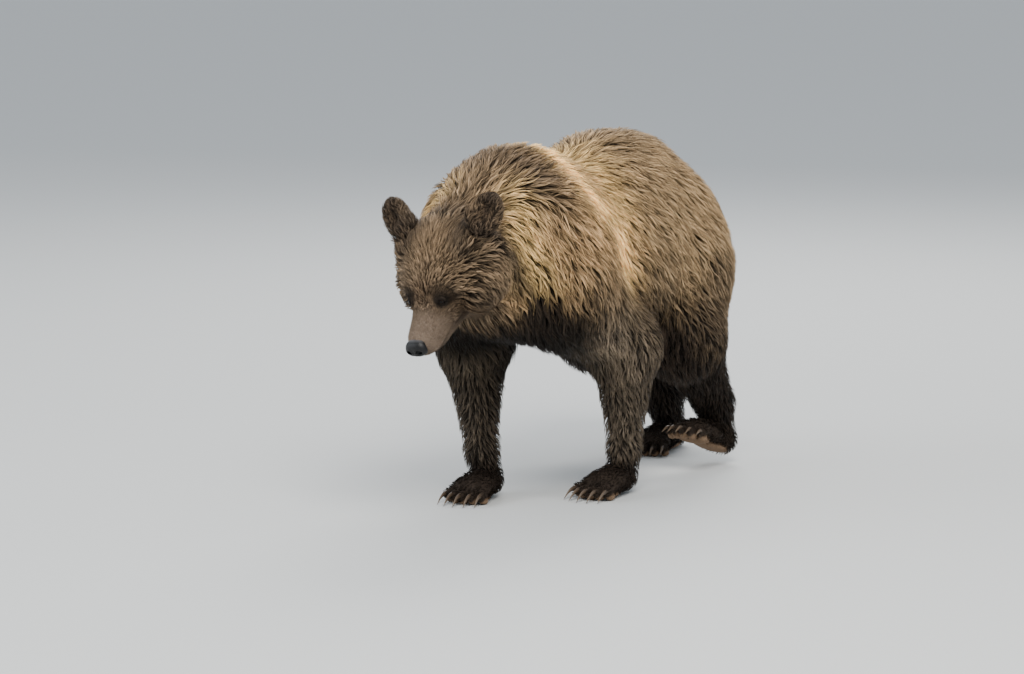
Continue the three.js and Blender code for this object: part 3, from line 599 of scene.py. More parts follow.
# ---- Meshes ----
def mesh_from(name, points, faces):
    """A mesh object from rows of points and rows of equally long faces."""
    faces = np.asarray(faces, np.int32)
    mesh = bpy.data.meshes.new(name)
    mesh.vertices.add(len(points))
    mesh.vertices.foreach_set("co", np.asarray(points, np.float32).ravel())
    mesh.loops.add(faces.size)
    mesh.loops.foreach_set("vertex_index", faces.ravel())
    mesh.polygons.add(len(faces))
    mesh.polygons.foreach_set("loop_start", np.arange(0, faces.size, faces.shape[1], dtype=np.int32))
    mesh.polygons.foreach_set("use_smooth", np.ones(len(faces), bool))
    mesh.update(calc_edges=True)
    mesh.validate()
    piece = bpy.data.objects.new(name, mesh)
    bpy.context.scene.collection.objects.link(piece)
    return piece


def values_of(rows, key, width, kind=np.float32):
    """One property of a mesh's corners or faces, as rows of numbers."""
    values = np.empty(len(rows) * width, kind)
    rows.foreach_get(key, values)
    values = values.reshape(-1, width)
    return values.astype(float) if kind == np.float32 else values


def set_values(mesh, name, values):
    """A value or a colour on each corner of a mesh."""
    if values.ndim == 1:
        layer = mesh.attributes.new(name, "FLOAT", "POINT")
        layer.data.foreach_set("value", values.astype(np.float32))
    else:
        layer = mesh.attributes.new(name, "FLOAT_COLOR", "POINT")
        full = np.ones((len(values), 4), np.float32)
        full[:, :3] = values
        layer.data.foreach_set("color", full.ravel())


def round_rings(rings, sides):
    """The numbers of neighbouring points, a and b, round each of a stack of rings."""
    return [(i * sides + j, i * sides + (j + 1) % sides) for i in range(rings) for j in range(sides)]


# ---- Markings and painted shade, the same on skin and coat ----
def stroke_weight(p, path, radius):
    """1 on a path and falling to 0 about a radius away from it."""
    best = np.full(len(p), 1e9)
    for a, b in zip(path[:-1], path[1:]):
        a, b = np.array(a, float), np.array(b, float)
        along = b - a
        t = np.clip((p - a) @ along / (along @ along + 1e-12), 0, 1)
        best = np.minimum(best, np.linalg.norm(p - a - t[:, None] * along, axis=1))
    return bell(best, radius)


# The middles of the pale bands: behind the shoulder, and down the side of the neck.
STRIPE = [
    [0.03, -0.31, 1.03], [0.12, -0.33, 1.0], [0.185, -0.34, 0.965], [0.212, -0.3, 0.93],
    [0.225, -0.23, 0.875], [0.235, -0.18, 0.79], [0.25, -0.155, 0.7],
]
COLLAR = [[0.12, -0.61, 0.91], [0.155, -0.63, 0.85], [0.18, -0.62, 0.78], [0.19, -0.59, 0.7]]
# The dark crest over the front of the hump.
CRESTLINE = [[-0.13, -0.51, 0.97], [-0.03, -0.55, 1.0], [0.03, -0.55, 1.0], [0.13, -0.51, 0.97]]


def both(path):
    return [path, [mirror(p) for p in path]]


# Marks on one side of the head, in its thousandths: each a path, how wide it is, its colour and its strength.
FACE_MARKS = [
    ([(120, -40, 50), (136, -50, -30), (112, -40, -110)], 0.034, RUFF, 0.95),  # behind the cheek
    ([(92, 70, -60), (108, 36, -40)], 0.055, RUFF, 0.8),  # cheek
    ([(76, 130, 20), (100, 112, 0), (128, 84, 4)], 0.03, RUFF, 0.6),  # from the eye outwards
    ([(104, 30, -104), (100, -20, -140)], 0.026, GOLD, 0.6),  # fringe under the cheek
    ([(84, -44, 90), (70, 0, 90), (78, 30, 60)], 0.036, RUFF, 0.9),  # in front of the ear
    ([(84, -50, 95), (26, -76, 105)], 0.045, RUFF, 0.8),  # between the ears
    ([(76, 110, -70), (92, 92, -52)], 0.042, WET, 0.8),  # corner of the mouth
    ([(0, 150, 58), (32, 146, 44), (60, 132, -10), (66, 118, -50)], 0.032, BRIDGE, 0.8),  # base of the muzzle
]
LIPS = [(58, 118), (45, 190), (16, 262), (-16, 262), (-45, 190), (-58, 118)]


def strokes():
    """Marks over the blended colours: each a path, how wide it is, its colour and its strength."""
    marks = [
        (CRESTLINE, 0.09, CREST, 0.95),
        ([on_head(0, -30, 110), [0, -0.6, 0.96]], 0.13, FACE, 0.9),  # crown and nape
        ([[0, 0.02, 1.05], [0, 0.3, 1.05], [0, 0.55, 0.9]], 0.13, DARK, 0.5),  # croup
    ]
    for path in both([[0.02, -0.13, 1.0], [0.12, -0.13, 0.97], [0.2, -0.14, 0.9]]):
        marks.append((path, 0.08, BLOND, 0.85))  # the pale band behind the shoulder is wide at the back
    for path in both(STRIPE):
        marks += [(path, 0.085, BLOND, 0.3), (path, 0.04, BLOND, 1.0), (path[:4], 0.058, BLOND, 0.8)]
    for path in both(COLLAR):
        marks.append((path, 0.054, BLOND, 1.0))
    for side in (1, -1):
        for path, radius, colour, strength in FACE_MARKS:
            marks.append(([on_head(u * side, v, w) for u, v, w in path], radius, colour, strength))
    for eye in EYES.values():
        marks.append(([eye["centre"], eye["centre"] + 1e-4], 0.042, RUFF, 0.75))
    for ear in EARS.values():
        marks.append(([ear_point(ear, 0, 0, -20), ear_point(ear, 0, 0, 80)], 0.052, EAR, 1.0))
    marks.append(([on_head(u, v, mouth_level(v)) for u, v in LIPS], 0.008, BLACK, 0.85))
    return marks


MARKS = strokes()


# Where the forelegs have begun to dry: a path down each, how wide it is and its strength.
DRYING = [
    ([[0.27, -0.3, 0.52], [0.26, -0.2, 0.45], [0.25, -0.12, 0.37], [0.19, -0.06, 0.14]], 0.1, 0.72),
    ([[-0.17, -0.36, 0.42], [-0.15, -0.33, 0.14]], 0.08, 0.45),
]


BEHIND_HEAD = (-0.63, -0.57)  # where, along Y, the coat begins to be wet


def painted(colour, mark, weight):
    return colour * (1 - weight[:, None]) + mark * weight[:, None]


def colours_with_painted_shade(p, shares):
    """The coat's colour at points, with painted shade under the chest and belly and between the legs."""
    colour = shares.T @ COLOURS
    for path, radius, mark, strength in MARKS:
        colour = painted(colour, mark, stroke_weight(p, path, radius) * strength)
    for eye in EYES.values():
        x, y, z = in_eye(eye, p).T
        colour = painted(colour, LID, bell(np.hypot(x / 1.95, y / 1.5), 1, 4) * (np.abs(z) < 3))
    soaked = wetness(p)
    colour = painted(colour, WET, soaked)
    x, y, z = p.T
    damp = 1 - smoothstep(over_wet_line(p), 0.0, 0.13)
    # Painted shade: under the chest and belly and between the legs, the coat is darkened by up to three
    # quarters. Damp hair just over the wet line is darker too.
    inward = np.abs(x) + 0.5 * np.minimum(y, 0)
    under = (1 - smoothstep(z, 0.52, 0.64)) * (1 - smoothstep(inward, 0.04, 0.16)) * smoothstep(z, 0.3, 0.42)
    shade = (1 - 0.4 * damp * (1 - soaked)) * (1 - 0.75 * under)
    behind_head = smoothstep(y, *BEHIND_HEAD)
    colour = colour * (1 - behind_head + behind_head * shade)[:, None]
    for path, radius, strength in DRYING:
        over_paw = smoothstep(z, 0.08, 0.16)
        colour = painted(colour, ARM, strength * stroke_weight(p, path, radius) * over_paw)
    return painted(colour, PAD, smoothstep(pad_distance(p), 0.004, 0.001))


def over_wet_line(p):
    """Height over the line up to which the bear has waded: it falls from the breast to the haunches."""
    x, y, z = p.T
    aside = np.maximum(np.abs(x) - 0.08, 0)
    drop = 0.13 * smoothstep(y, -0.45, 0.2) + 0.02 * smoothstep(y, 0.1, 0.3)
    return z - 0.75 + 4.4 * aside**2 + drop


def wetness(p):
    """How soaked the coat is, from 0 to 1."""
    over = over_wet_line(p)
    return (1 - smoothstep(over, -0.05, 0.05)) * smoothstep(p[:, 1], *BEHIND_HEAD)


def inside_box(points, soft=0.014, margin=(0.001, 0.001, 0.001)):
    """Points eased back so that none leaves the box of the solids."""
    low, high = (np.array(corner) - SHIFT for corner in cad_box)
    for edge, sign in ((high - margin, 1), (low + margin, -1)):
        over = (points - edge) * sign + soft
        eased = soft * (1 - np.exp(-np.maximum(over, 0) / soft))
        points = np.where(over > 0, edge + sign * (eased - soft), points)
    return points


# ---- The skin ----
LID_REACH = 0.034  # how far round an eye's centre the skin is fine and the long hair stays away
SKIN_STEP = 0.0065
SKIN_MARGIN = (0.012, -0.1, -0.1)  # the skin is held in only at the sides, where it bears long hair
SKIN_LOW = [-0.36, -0.95, -0.02]
SKIN_HIGH = [0.36, 0.84, 1.1]


def refined(piece, chosen, field):
    """Splits the faces whose middles are chosen into four, and moves the new corners onto the field."""
    mesh = bmesh.new()
    mesh.from_mesh(piece.data)
    middles = np.array([face.calc_center_median() for face in mesh.faces])
    pick = chosen(middles)
    faces = [face for face, picked in zip(mesh.faces, pick) if picked]
    edges = list({edge for face in faces for edge in face.edges})
    old = len(mesh.verts)
    bmesh.ops.subdivide_edges(mesh, edges=edges, cuts=1, use_grid_fill=True)
    bmesh.ops.triangulate(mesh, faces=[face for face in mesh.faces if len(face.verts) > 4])
    mesh.to_mesh(piece.data)
    mesh.free()
    points = values_of(piece.data.vertices, "co", 3)
    moved = np.arange(len(points)) >= old
    moved |= chosen(points)
    points[moved] = onto(field, points[moved])
    piece.data.vertices.foreach_set("co", points.astype(np.float32).ravel())
    piece.data.update()


def unwrap(piece):
    """An unwrap of the skin's own shape, in the map that bakes use."""
    bpy.context.view_layer.objects.active = piece
    piece.select_set(True)
    piece.data.uv_layers.new(name="OFBake")
    bpy.ops.object.mode_set(mode="EDIT")
    bpy.ops.mesh.select_all(action="SELECT")
    bpy.ops.uv.smart_project(angle_limit=math.radians(72), island_margin=0.001)
    bpy.ops.object.mode_set(mode="OBJECT")
    piece.select_set(False)


def eye_gap(p):
    return np.min([np.linalg.norm(p - eye["centre"], axis=1) for eye in EYES.values()], axis=0)


def make_skin():
    points, faces = surface_nets(skin_field, SKIN_LOW, SKIN_HIGH, SKIN_STEP)
    points = inside_box(onto(skin_field, points, 1), margin=SKIN_MARGIN)
    piece = mesh_from("skin", points, faces)

    def on_face(p):
        u, v, w = in_head(p).T
        return (v > 85) & (np.abs(u) < 95) & (w > -130) & (w < 90)

    def at_lips(p):
        u, v, w = in_head(p).T
        return (v > 105) & (np.abs(w - mouth_level(v)) < 12) | (eye_gap(p) < LID_REACH)

    refined(piece, on_face, skin_field)
    refined(piece, at_lips, skin_field)
    for reach in (0.024, 0.016):
        refined(piece, lambda p: eye_gap(p) < reach, skin_field)
    return piece


def head_lie(p):
    """How the coat lies on the head: round each cheek, back over the crown, down at the ruff."""
    u, v, w = in_head(p).T
    side = np.where(u > 0, 1.0, -1.0)
    u = np.abs(u)
    gap = np.stack([u - 62, v - 140, w + 42], 1)
    out = unit([0.82, 0.25, 0.5])
    # The head's axes are left-handed, so this turns downwards at the outer edge of the cheek.
    around = unit(np.cross(out, gap))
    reach = np.linalg.norm(gap, axis=1)
    crown = smoothstep(w, 5, 60)[:, None]
    outer = crown * unit([0.3, -1, -0.1]) + (1 - crown) * unit([0.15, 0.3, -1])
    inner = smoothstep(reach, 18, 60)[:, None]
    lie = inner * around + (1 - inner) * unit([0.4, -1, 0.1])
    far = smoothstep(reach, 110, 165)[:, None]
    lie = far * outer + (1 - far) * lie
    lie[:, 0] *= side * smoothstep(u, 0, 22)
    return unit(lie @ HEAD_AXES)


def stripe_lie(p, lie):
    """The pale hair behind the shoulder lies along the lower half of its band."""
    for path in both(STRIPE[3:]):
        for a, b in zip(path[:-1], path[1:]):
            near = stroke_weight(p, [a, b], 0.04)[:, None]
            lie = lie * (1 - near) + unit(np.array(b) - a) * near
    return lie


def looks_at(p):
    """Colour, depth, travel and lie of the coat at points, and the part of the coat that they are in."""
    def look(q):
        shares = shares_of(np.array([distance(mass, q) for mass in MASSES]))
        part = MASS_PARTS[shares.argmax(0)]
        on_head_share = shares[MASS_PARTS == HEAD].sum(0)[:, None]
        lie = stripe_lie(q, unit(shares.T @ LIES)) * (1 - on_head_share) + head_lie(q) * on_head_share
        return colours_with_painted_shade(q, shares), coat_depths(q, shares), shares.T @ TRAVELS, unit(lie), part

    names = ("colour", "depth", "travel", "lie", "part")
    return dict(zip(names, in_chunks(look, p)))


def ear_nearness(p):
    return np.any([
        (np.linalg.norm(p - ear_point(ear, 0, 0, 40), axis=1) < 0.085) & (ear_distance(ear, p) < 0.006)
        for ear in EARS.values()
    ], axis=0)


def pad_distance(p):
    return np.min([distance(pad, p) for pad in PADS], axis=0)


# ---- Tufts ----
TUFT_SIDES = 3
GUIDE_STEPS = 5
PIECE_TRIANGLES = 190000  # the most that a piece of the coat holds
TRIED = 6  # how many places are tried for a lock, of which one is kept
TUFT_PATCH = 0.003  # how wide a tuft's own patch is in the map
# For a number of rings: where they lie along the tuft, up to its tip, and how wide they are.
TUFT_FORMS = {
    1: ([0, 1], [0.9]),
    2: ([0, 0.5, 1], [0.85, 0.9]),
    3: ([0, 0.36, 0.72, 1], [0.7, 1, 0.72]),
    4: ([0, 0.27, 0.54, 0.8, 1], [0.7, 1, 0.95, 0.66]),
}


def tree_of(points):
    tree = kdtree.KDTree(len(points))
    for i, point in enumerate(points):
        tree.insert(point, i)
    tree.balance()
    return tree


def nearest_of(tree, p):
    return np.array([tree.find(point)[1] for point in p])


LOOKS = ("colour", "depth", "travel", "lie", "glow", "damp")


class SkinMap:
    """The skin as tufts see it: where it is, which way it faces and how the coat lies there."""

    def __init__(self, mesh):
        self.points = values_of(mesh.vertices, "co", 3)
        self.normals = values_of(mesh.vertices, "normal", 3)
        self.look = looks_at(self.points)
        # Where the skin faces up, over the nape and the withers, or down, the coat lies straight back.
        up = smoothstep(self.normals[:, 2], 0.45, 0.8) * smoothstep(self.points[:, 1], -0.3, -0.4)
        down = smoothstep(-self.normals[:, 2], 0.5, 0.8)
        back = (np.maximum(up, down) * (self.look["part"] == BODY))[:, None]
        self.look["lie"] = unit(self.look["lie"] * (1 - back) + unit(BACK) * back)
        mesh.calc_loop_triangles()
        self.triangles = values_of(mesh.loop_triangles, "vertices", 3, np.int32)
        loops = values_of(mesh.loop_triangles, "loops", 3, np.int32)
        self.uv = values_of(mesh.uv_layers["OFBake"].data, "uv", 2)[loops]
        a, b, c = (self.points[self.triangles[:, k]] for k in range(3))
        self.areas = np.linalg.norm(np.cross(b - a, c - a), axis=1) / 2
        self.tree = tree_of(self.points)

    def roots(self, chosen, density):
        """Spots spread over the chosen part, so many to each square metre."""
        sums = np.cumsum(self.areas * chosen[self.triangles[:, 0]] * density)
        count = int(sums[-1])
        place = (np.arange(count) + rng.random(count)) / count * sums[-1]
        face = np.minimum(np.searchsorted(sums, place), len(sums) - 1)
        s, t = rng.random(count), rng.random(count)
        over = s + t > 1
        s[over], t[over] = 1 - s[over], 1 - t[over]
        share = np.stack([1 - s - t, s, t], 1)
        corners = self.triangles[face]

        def blended(values):
            return (values[corners] * share.reshape(count, 3, *[1] * (values.ndim - 1))).sum(1)

        made = {key: blended(self.look[key]) for key in LOOKS}
        made["uv"] = (self.uv[face] * share[:, :, None]).sum(1)
        made["at"] = blended(self.points)
        made["normal"] = unit(blended(self.normals))
        return made


def thinned(p, spacing):
    """Indices of points no more than one to each small cell of space."""
    most = 8192  # more cells than the bear spans along any axis
    cells = np.floor(p / spacing).astype(np.int64) + most // 2
    key = (cells[:, 0] * most + cells[:, 1]) * most + cells[:, 2]
    return np.unique(key, return_index=True)[1]


def guide_paths(skin_map, guides, length, sway, zone):
    """Paths over the skin from each guide's root, with the skin's direction at each step."""
    spot = guides["at"].copy()
    path, normals = [], []
    phase = rng.random(len(spot)) * 2 * math.pi
    for step in range(GUIDE_STEPS + 1):
        near = nearest_of(skin_map.tree, spot)
        normal = skin_map.normals[near]
        base = skin_map.points[near]
        spot = spot - normal * ((spot - base) * normal).sum(1)[:, None]
        path.append(spot)
        normals.append(normal)
        way = 0.6 * skin_map.look["lie"][near] + 0.4 * guides["lie"]
        way = unit(way - normal * (way * normal).sum(1)[:, None])
        side = np.cross(way, normal)
        turn = sway + zone["wave"] * np.sin(phase + zone["crimp"] * step)
        way = unit(way + side * turn[:, None])
        spot = spot + way * (length / GUIDE_STEPS)[:, None]
    return np.stack(path, 1), np.stack(normals, 1)


def along_paths(values, guide, t):
    """The values of guides at shares t of their length, between their steps."""
    place = np.clip(t, 0, 1) * GUIDE_STEPS
    low = np.minimum(place.astype(int), GUIDE_STEPS - 1)
    part = (place - low)[:, None]
    return values[guide, low] * (1 - part) + values[guide, low + 1] * part


def noise_over(p, size, seed):
    """A smooth random value, about -1 to 1, over space."""
    own = np.random.default_rng(seed)
    count = 7
    waves = unit(own.normal(size=(count, 3))) * own.uniform(0.6, 1.6, (count, 1)) * 2 * math.pi / size
    return np.sin(p @ waves.T + own.random(count) * 2 * math.pi).mean(1) * 1.8


def make_tufts(skin_map, zone):
    """Closed, tapered tufts in locks: each follows the guide of its lock and draws towards its tip."""
    roots = skin_map.roots(zone["chosen"], zone["density"])
    count = len(roots["at"])
    candidates = skin_map.roots(zone["chosen"], TRIED / zone["lock"] ** 2)
    keep = thinned(candidates["at"], zone["lock"])
    guides = {key: values[keep] for key, values in candidates.items()}
    total = len(keep)
    longest = zone["length"] * guides["depth"] * (0.35 + 0.65 * guides["travel"])
    longest *= rng.uniform(0.85, 1.3, total)
    flow = noise_over(guides["at"], zone["lock"] * 9, 5)
    sway = zone["sway"] * (0.7 * flow + rng.normal(0, 0.5, total))
    path, normals = guide_paths(skin_map, guides, longest, sway, zone)
    guide = nearest_of(tree_of(guides["at"]), roots["at"])
    offset = roots["at"] - guides["at"][guide]
    spread = np.linalg.norm(offset, axis=1) / zone["lock"]
    lock_tone = rng.normal(0, 0.8, total) + 0.7 * noise_over(guides["at"], zone["lock"] * 3.2, 9)
    lock_rise = np.clip(1.04 + 0.16 * noise_over(guides["at"], zone["lock"] * 3.5, 7), 0.74, 1.2)
    lock_rise *= rng.uniform(0.85, 1.08, total)
    own_length = rng.uniform(0.65, 1.0, count)
    rise = rise_of(roots["depth"]) * lock_rise[guide] * rng.uniform(0.84, 1.0, count)
    rise *= (1.06 - 0.5 * np.minimum(spread, 1) ** 2) * zone["rise"]
    rise *= 1 + zone["crest"] * smoothstep(roots["normal"][:, 2], 0.7, 0.97)
    hang = zone["hang"] * smoothstep(-roots["normal"][:, 2], 0.1, 0.8)
    width = zone["width"] * rng.uniform(0.7, 1.3, count)
    times, shares = TUFT_FORMS[zone["rings"]]
    centres, ups = [], []
    for t in times:
        on_path = along_paths(path, guide, own_length * t)
        up = unit(along_paths(normals, guide, own_length * t))
        draw = zone["draw"] * t**1.2
        height = rise * (1 - (1 - t) ** 1.9) - zone["sink"] * (1 - t)
        centre = on_path + offset * (1 - draw) + up * height[:, None]
        centre[:, 2] -= hang * t * t
        centres.append(centre)
        ups.append(up)
    points = []
    for i, share in enumerate(shares):
        ahead = unit(centres[i + 1] - centres[max(i - 1, 0)])
        side = unit(np.cross(ahead, ups[i]))
        top = np.cross(side, ahead)
        half = (width * share)[:, None]
        points += [centres[i] - side * half, centres[i] + side * half, centres[i] + top * half * 0.7]
    points.append(centres[-1])
    points = inside_box(np.stack(points, 1))
    tone = 1.05 * lock_tone[guide] * (1 + 0.6 * roots["damp"]) + 0.6 * rng.normal(0, 1, count)
    # Painted shade between locks: a tuft is darker the farther its root lies from the middle of its lock.
    tone += 0.45 - 1.4 * np.minimum(spread, 1) ** 2
    return {
        "points": points,
        "along": np.append(np.repeat(times[:-1], TUFT_SIDES), 1.0),
        "colour": roots["colour"],
        "tone": zone["contrast"] * tone + roots["glow"],
        "uv": roots["uv"],
    }


def tuft_faces(rings):
    faces = [(0, 1, 2)]
    for a, b in round_rings(rings - 1, TUFT_SIDES):
        faces += [(a, a + TUFT_SIDES, b + TUFT_SIDES), (a, b + TUFT_SIDES, b)]
    tip = TUFT_SIDES * rings
    faces += [(tip - 3, tip, tip - 2), (tip - 2, tip, tip - 1), (tip - 1, tip, tip - 3)]
    return np.array(faces)


def make_coat(name, tufts, zone):
    """Joined meshes of tufts, each under the limit of a piece."""
    rings = zone["rings"]
    faces = tuft_faces(rings)
    per_tuft = TUFT_SIDES * rings + 1
    parts = math.ceil(len(tufts["points"]) * len(faces) / PIECE_TRIANGLES)
    order = np.argsort(tufts["points"][:, 0, 1], kind="stable")
    across = np.array([-0.5, 0.5, 0] * rings + [0])
    patch = np.stack([across, tufts["along"] - 0.5], 1) * TUFT_PATCH
    for i, chosen in enumerate(np.array_split(order, parts)):
        points = tufts["points"][chosen].reshape(-1, 3)
        all_faces = (faces[None] + (np.arange(len(chosen)) * per_tuft)[:, None, None]).reshape(-1, 3)
        piece = mesh_from(f"{name}_{i + 1}", points, all_faces)
        mesh = piece.data
        set_values(mesh, "coat_colour", np.repeat(tufts["colour"][chosen], per_tuft, axis=0))
        set_values(mesh, "tone", np.repeat(tufts["tone"][chosen], per_tuft))
        set_values(mesh, "along", np.tile(tufts["along"], len(chosen)))
        set_values(mesh, "wet", wetness(points))
        layer = mesh.uv_layers.new(name="OFBake")
        uv = (tufts["uv"][chosen][:, None, :] + patch[None]).reshape(-1, 2)
        layer.data.foreach_set("uv", uv[all_faces.ravel()].astype(np.float32).ravel())
        mesh.materials.append(zone["material"])
        placed(piece, slot=zone["slot"])


# ---- Materials ----
def new_material(name, roughness=0.5, specular=0.5):
    material = bpy.data.materials.new(name)
    material.use_nodes = True
    shader = material.node_tree.nodes["Principled BSDF"]
    shader.inputs["Roughness"].default_value = roughness
    shader.inputs["Specular IOR Level"].default_value = specular
    return material, material.node_tree, shader


def feed(tree, socket, value):
    """Links an input to another node's output, or sets it to a number or a colour."""
    if isinstance(value, bpy.types.NodeSocket):
        tree.links.new(value, socket)
    elif socket.type == "RGBA":
        socket.default_value = (*np.broadcast_to(value, 3), 1)
    else:
        socket.default_value = value


def node(tree, kind, inputs=None, **settings):
    made = tree.nodes.new(kind)
    for key, value in settings.items():
        setattr(made, key, value)
    for key, value in (inputs or {}).items():
        feed(tree, made.inputs[key], value)
    return made


def attribute(tree, name, output="Fac"):
    return node(tree, "ShaderNodeAttribute", attribute_name=name).outputs[output]


def ramp(tree, source, stops):
    """A colour ramp from pairs of place and grey value or colour."""
    made = node(tree, "ShaderNodeValToRGB", {"Fac": source})
    elements = made.color_ramp.elements
    while len(elements) < len(stops):
        elements.new(0.5)
    for element, (place, value) in zip(elements, stops):
        element.position = place
        element.color = (*np.broadcast_to(value, 3), 1)
    return made.outputs["Color"]


def mixed(tree, mode, factor, a, b):
    made = node(tree, "ShaderNodeMix", data_type="RGBA", blend_type=mode, clamp_result=False)
    for key, value in (("Factor", factor), ("A", a), ("B", b)):
        feed(tree, made.inputs[key], value)
    return made.outputs["Result"]


def multiplied(tree, a, b, factor=1.0):
    return mixed(tree, "MULTIPLY", factor, a, b)


def object_place(tree):
    return node(tree, "ShaderNodeTexCoord").outputs["Object"]


def noise(tree, scale, detail=2.0, roughness=0.5):
    inputs = {"Vector": object_place(tree), "Scale": scale, "Detail": detail, "Roughness": roughness}
    return node(tree, "ShaderNodeTexNoise", inputs).outputs["Fac"]


def bump(tree, shader, height, distance_m, strength=1.0):
    made = node(tree, "ShaderNodeBump", {"Distance": distance_m, "Strength": strength, "Height": height})
    tree.links.new(made.outputs["Normal"], shader.inputs["Normal"])


def fitted(tree, source, start, end, low, high):
    """A value's range from start to end stretched to one from low to high."""
    inputs = {"Value": source, "From Min": start, "From Max": end, "To Min": low, "To Max": high}
    return node(tree, "ShaderNodeMapRange", inputs).outputs["Result"]


TIP_TINT = (1.0, 0.93, 0.8)  # sun-bleached hair tips lean to yellow


def coat_material(name, root_shade=0.2, tip_shade=1.35):
    """Hair: dark at its root, bleached at its tip, uneven from lock to lock, and glossy where it is wet."""
    material, tree, shader = new_material(name, specular=0.12)
    along = attribute(tree, "along")
    brightest = 1.5
    shades = [(0.0, root_shade / brightest), (0.4, 0.62 / brightest), (1.0, tip_shade / brightest)]
    tone = fitted(tree, attribute(tree, "tone"), -2.0, 3.0, 0.5, 3.25)
    colour = multiplied(tree, attribute(tree, "coat_colour", "Color"), ramp(tree, along, shades))
    colour = multiplied(tree, colour, tone)
    colour = multiplied(tree, colour, TIP_TINT, along)
    patches = ramp(tree, noise(tree, 9, 3), [(0.3, 0.78), (0.7, 1.0)])
    feed(tree, shader.inputs["Base Color"], multiplied(tree, colour, patches))
    feed(tree, shader.inputs["Roughness"], fitted(tree, attribute(tree, "wet"), 0, 1, 0.6, 0.42))
    return material


def skin_material():
    """The hide under the coat: dark skin with painted shade between tufts, and short velvet where the coat is
    short.
    """
    material, tree, shader = new_material("hide", 0.7, 0.06)
    velvet = ramp(tree, noise(tree, 240, 3, 0.7), [(0.3, 0.72), (0.7, 1.18)])
    # Under the long coat the hide is 0.14 of the coat's colour: dark skin, and painted shade in the gaps
    # between the tufts.
    light = mixed(tree, "MIX", attribute(tree, "bare"), 0.14, velvet)
    feed(tree, shader.inputs["Base Color"], multiplied(tree, attribute(tree, "coat_colour", "Color"), light))
    bump(tree, shader, noise(tree, 420, 3, 0.7), 0.0006)
    return material


def patterned(name, roughness, specular, base_of, pattern, stops):
    """A material whose colour is a base that a pattern of noise lightens and darkens."""
    material, tree, shader = new_material(name, roughness, specular)
    patches = ramp(tree, noise(tree, *pattern), stops)
    feed(tree, shader.inputs["Base Color"], multiplied(tree, base_of(tree), patches))
    return material, tree, shader


def nose_material():
    def base(tree):
        # The pad's top is painted pale grey and its lower front black: a painted sheen on the top.
        return ramp(tree, attribute(tree, "along"), [(0.1, rgb("090808")), (0.9, rgb("4b4a4b"))])

    material, tree, shader = patterned("nose_skin", 0.4, 0.35, base, (60, 3), [(0.35, 0.75), (0.7, 1.25)])
    pebbles = node(tree, "ShaderNodeTexVoronoi", {"Scale": 520, "Vector": object_place(tree)})
    bump(tree, shader, pebbles.outputs["Distance"], 0.0007, 0.6)
    return material


# From the eye's side to its front: white of the eye, iris and pupil.
IRIS = [
    (0.0, rgb("0c0807")), (0.8, rgb("100a07")), (0.86, rgb("1d1109")), (0.94, rgb("170d07")), (0.965, 0.001),
]


def eye_material(out):
    """A dark brown iris round a black pupil, under a clear wet cornea."""
    def base(tree):
        normal = node(tree, "ShaderNodeTexCoord").outputs["Normal"]
        facing = node(tree, "ShaderNodeVectorMath", operation="DOT_PRODUCT")
        tree.links.new(normal, facing.inputs[0])
        facing.inputs[1].default_value = tuple(out)
        return ramp(tree, facing.outputs["Value"], IRIS)

    return patterned("eye_gloss", 0.08, 0.16, base, (900, 2), [(0.3, 0.7), (0.7, 1.2)])[0]


def claw_material():
    """Horn with fine lengthwise streaks, paler towards the tip."""
    def base(tree):
        return ramp(tree, attribute(tree, "along"), [(0.0, rgb("2a211c")), (1.0, rgb("6d5b48"))])

    material, tree, shader = patterned("claw_horn", 0.38, 0.5, base, (300, 3), [(0.3, 0.8), (0.7, 1.15)])
    bump(tree, shader, noise(tree, 500, 3), 0.0003)
    return material


# ---- Small pieces ----
def placed(piece, *nodes, slot=None):
    """Puts a piece made in the bear's own coordinates where its solids are."""
    piece.location = SHIFT
    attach(piece, "root")
    if nodes:
        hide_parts(*nodes)
    return piece


def make_eye(name, eye):
    """An eyeball with a slight bulge at the cornea."""
    rings, sectors = 40, 48
    tilt = np.linspace(0, math.pi, rings + 1)
    turn = np.arange(sectors) * 2 * math.pi / sectors
    tilt, turn = np.meshgrid(tilt, turn, indexing="ij")
    local = np.stack([np.sin(tilt) * np.cos(turn), np.sin(tilt) * np.sin(turn), np.cos(tilt)], -1)
    local *= 1 + 0.05 * bell(tilt, 0.5)[..., None]
    points = eye["centre"] + local.reshape(-1, 3) * EYE_RADIUS * EYEBALL @ eye["axes"]
    faces = [(a, a + sectors, b + sectors, b) for a, b in round_rings(rings, sectors)]
    piece = mesh_from(f"{name}_eyeball", points, faces)
    piece.data.materials.append(eye_material(eye["axes"][2]))
    bm = bmesh.new()
    bm.from_mesh(piece.data)
    bmesh.ops.remove_doubles(bm, verts=bm.verts, dist=1e-6)
    bm.to_mesh(piece.data)
    bm.free()
    return placed(piece, f"{name}_eye", slot="eye")


# The middle of a nostril, from the open air inwards and out to its slit, and how wide it is.
NOSTRIL = [([12, 304, 0], 0.008), ([14, 288, 0], 0.0078), ([20, 281, -4], 0.0055), ([27, 279, -9], 0.002)]


def nose_field(p):
    pad = distance(ball(on_head(0, 275, -5), [0.035, 0.018, 0.024], HEAD_AXES), p)
    top = distance(ball(on_head(0, 266, 7), [0.028, 0.018, 0.014], HEAD_AXES), p)
    field = smooth_min(pad, top, 0.014) + 0.0006
    u, _, w = in_head(p).T
    for side in (1, -1):
        row = [(on_head(side * at[0], *at[1:]), size) for at, size in NOSTRIL]
        hole = np.min([
            distance(bar(a, b, [r, s]), p) for (a, r), (b, s) in zip(row[:-1], row[1:])
        ], axis=0)
        field -= 0.0016 * bell(hole - 0.0035, 0.0028)
        field = -smooth_min(-field, hole, 0.003)
    return field + 0.0022 * bell(u, 1.8) * (w < 6)


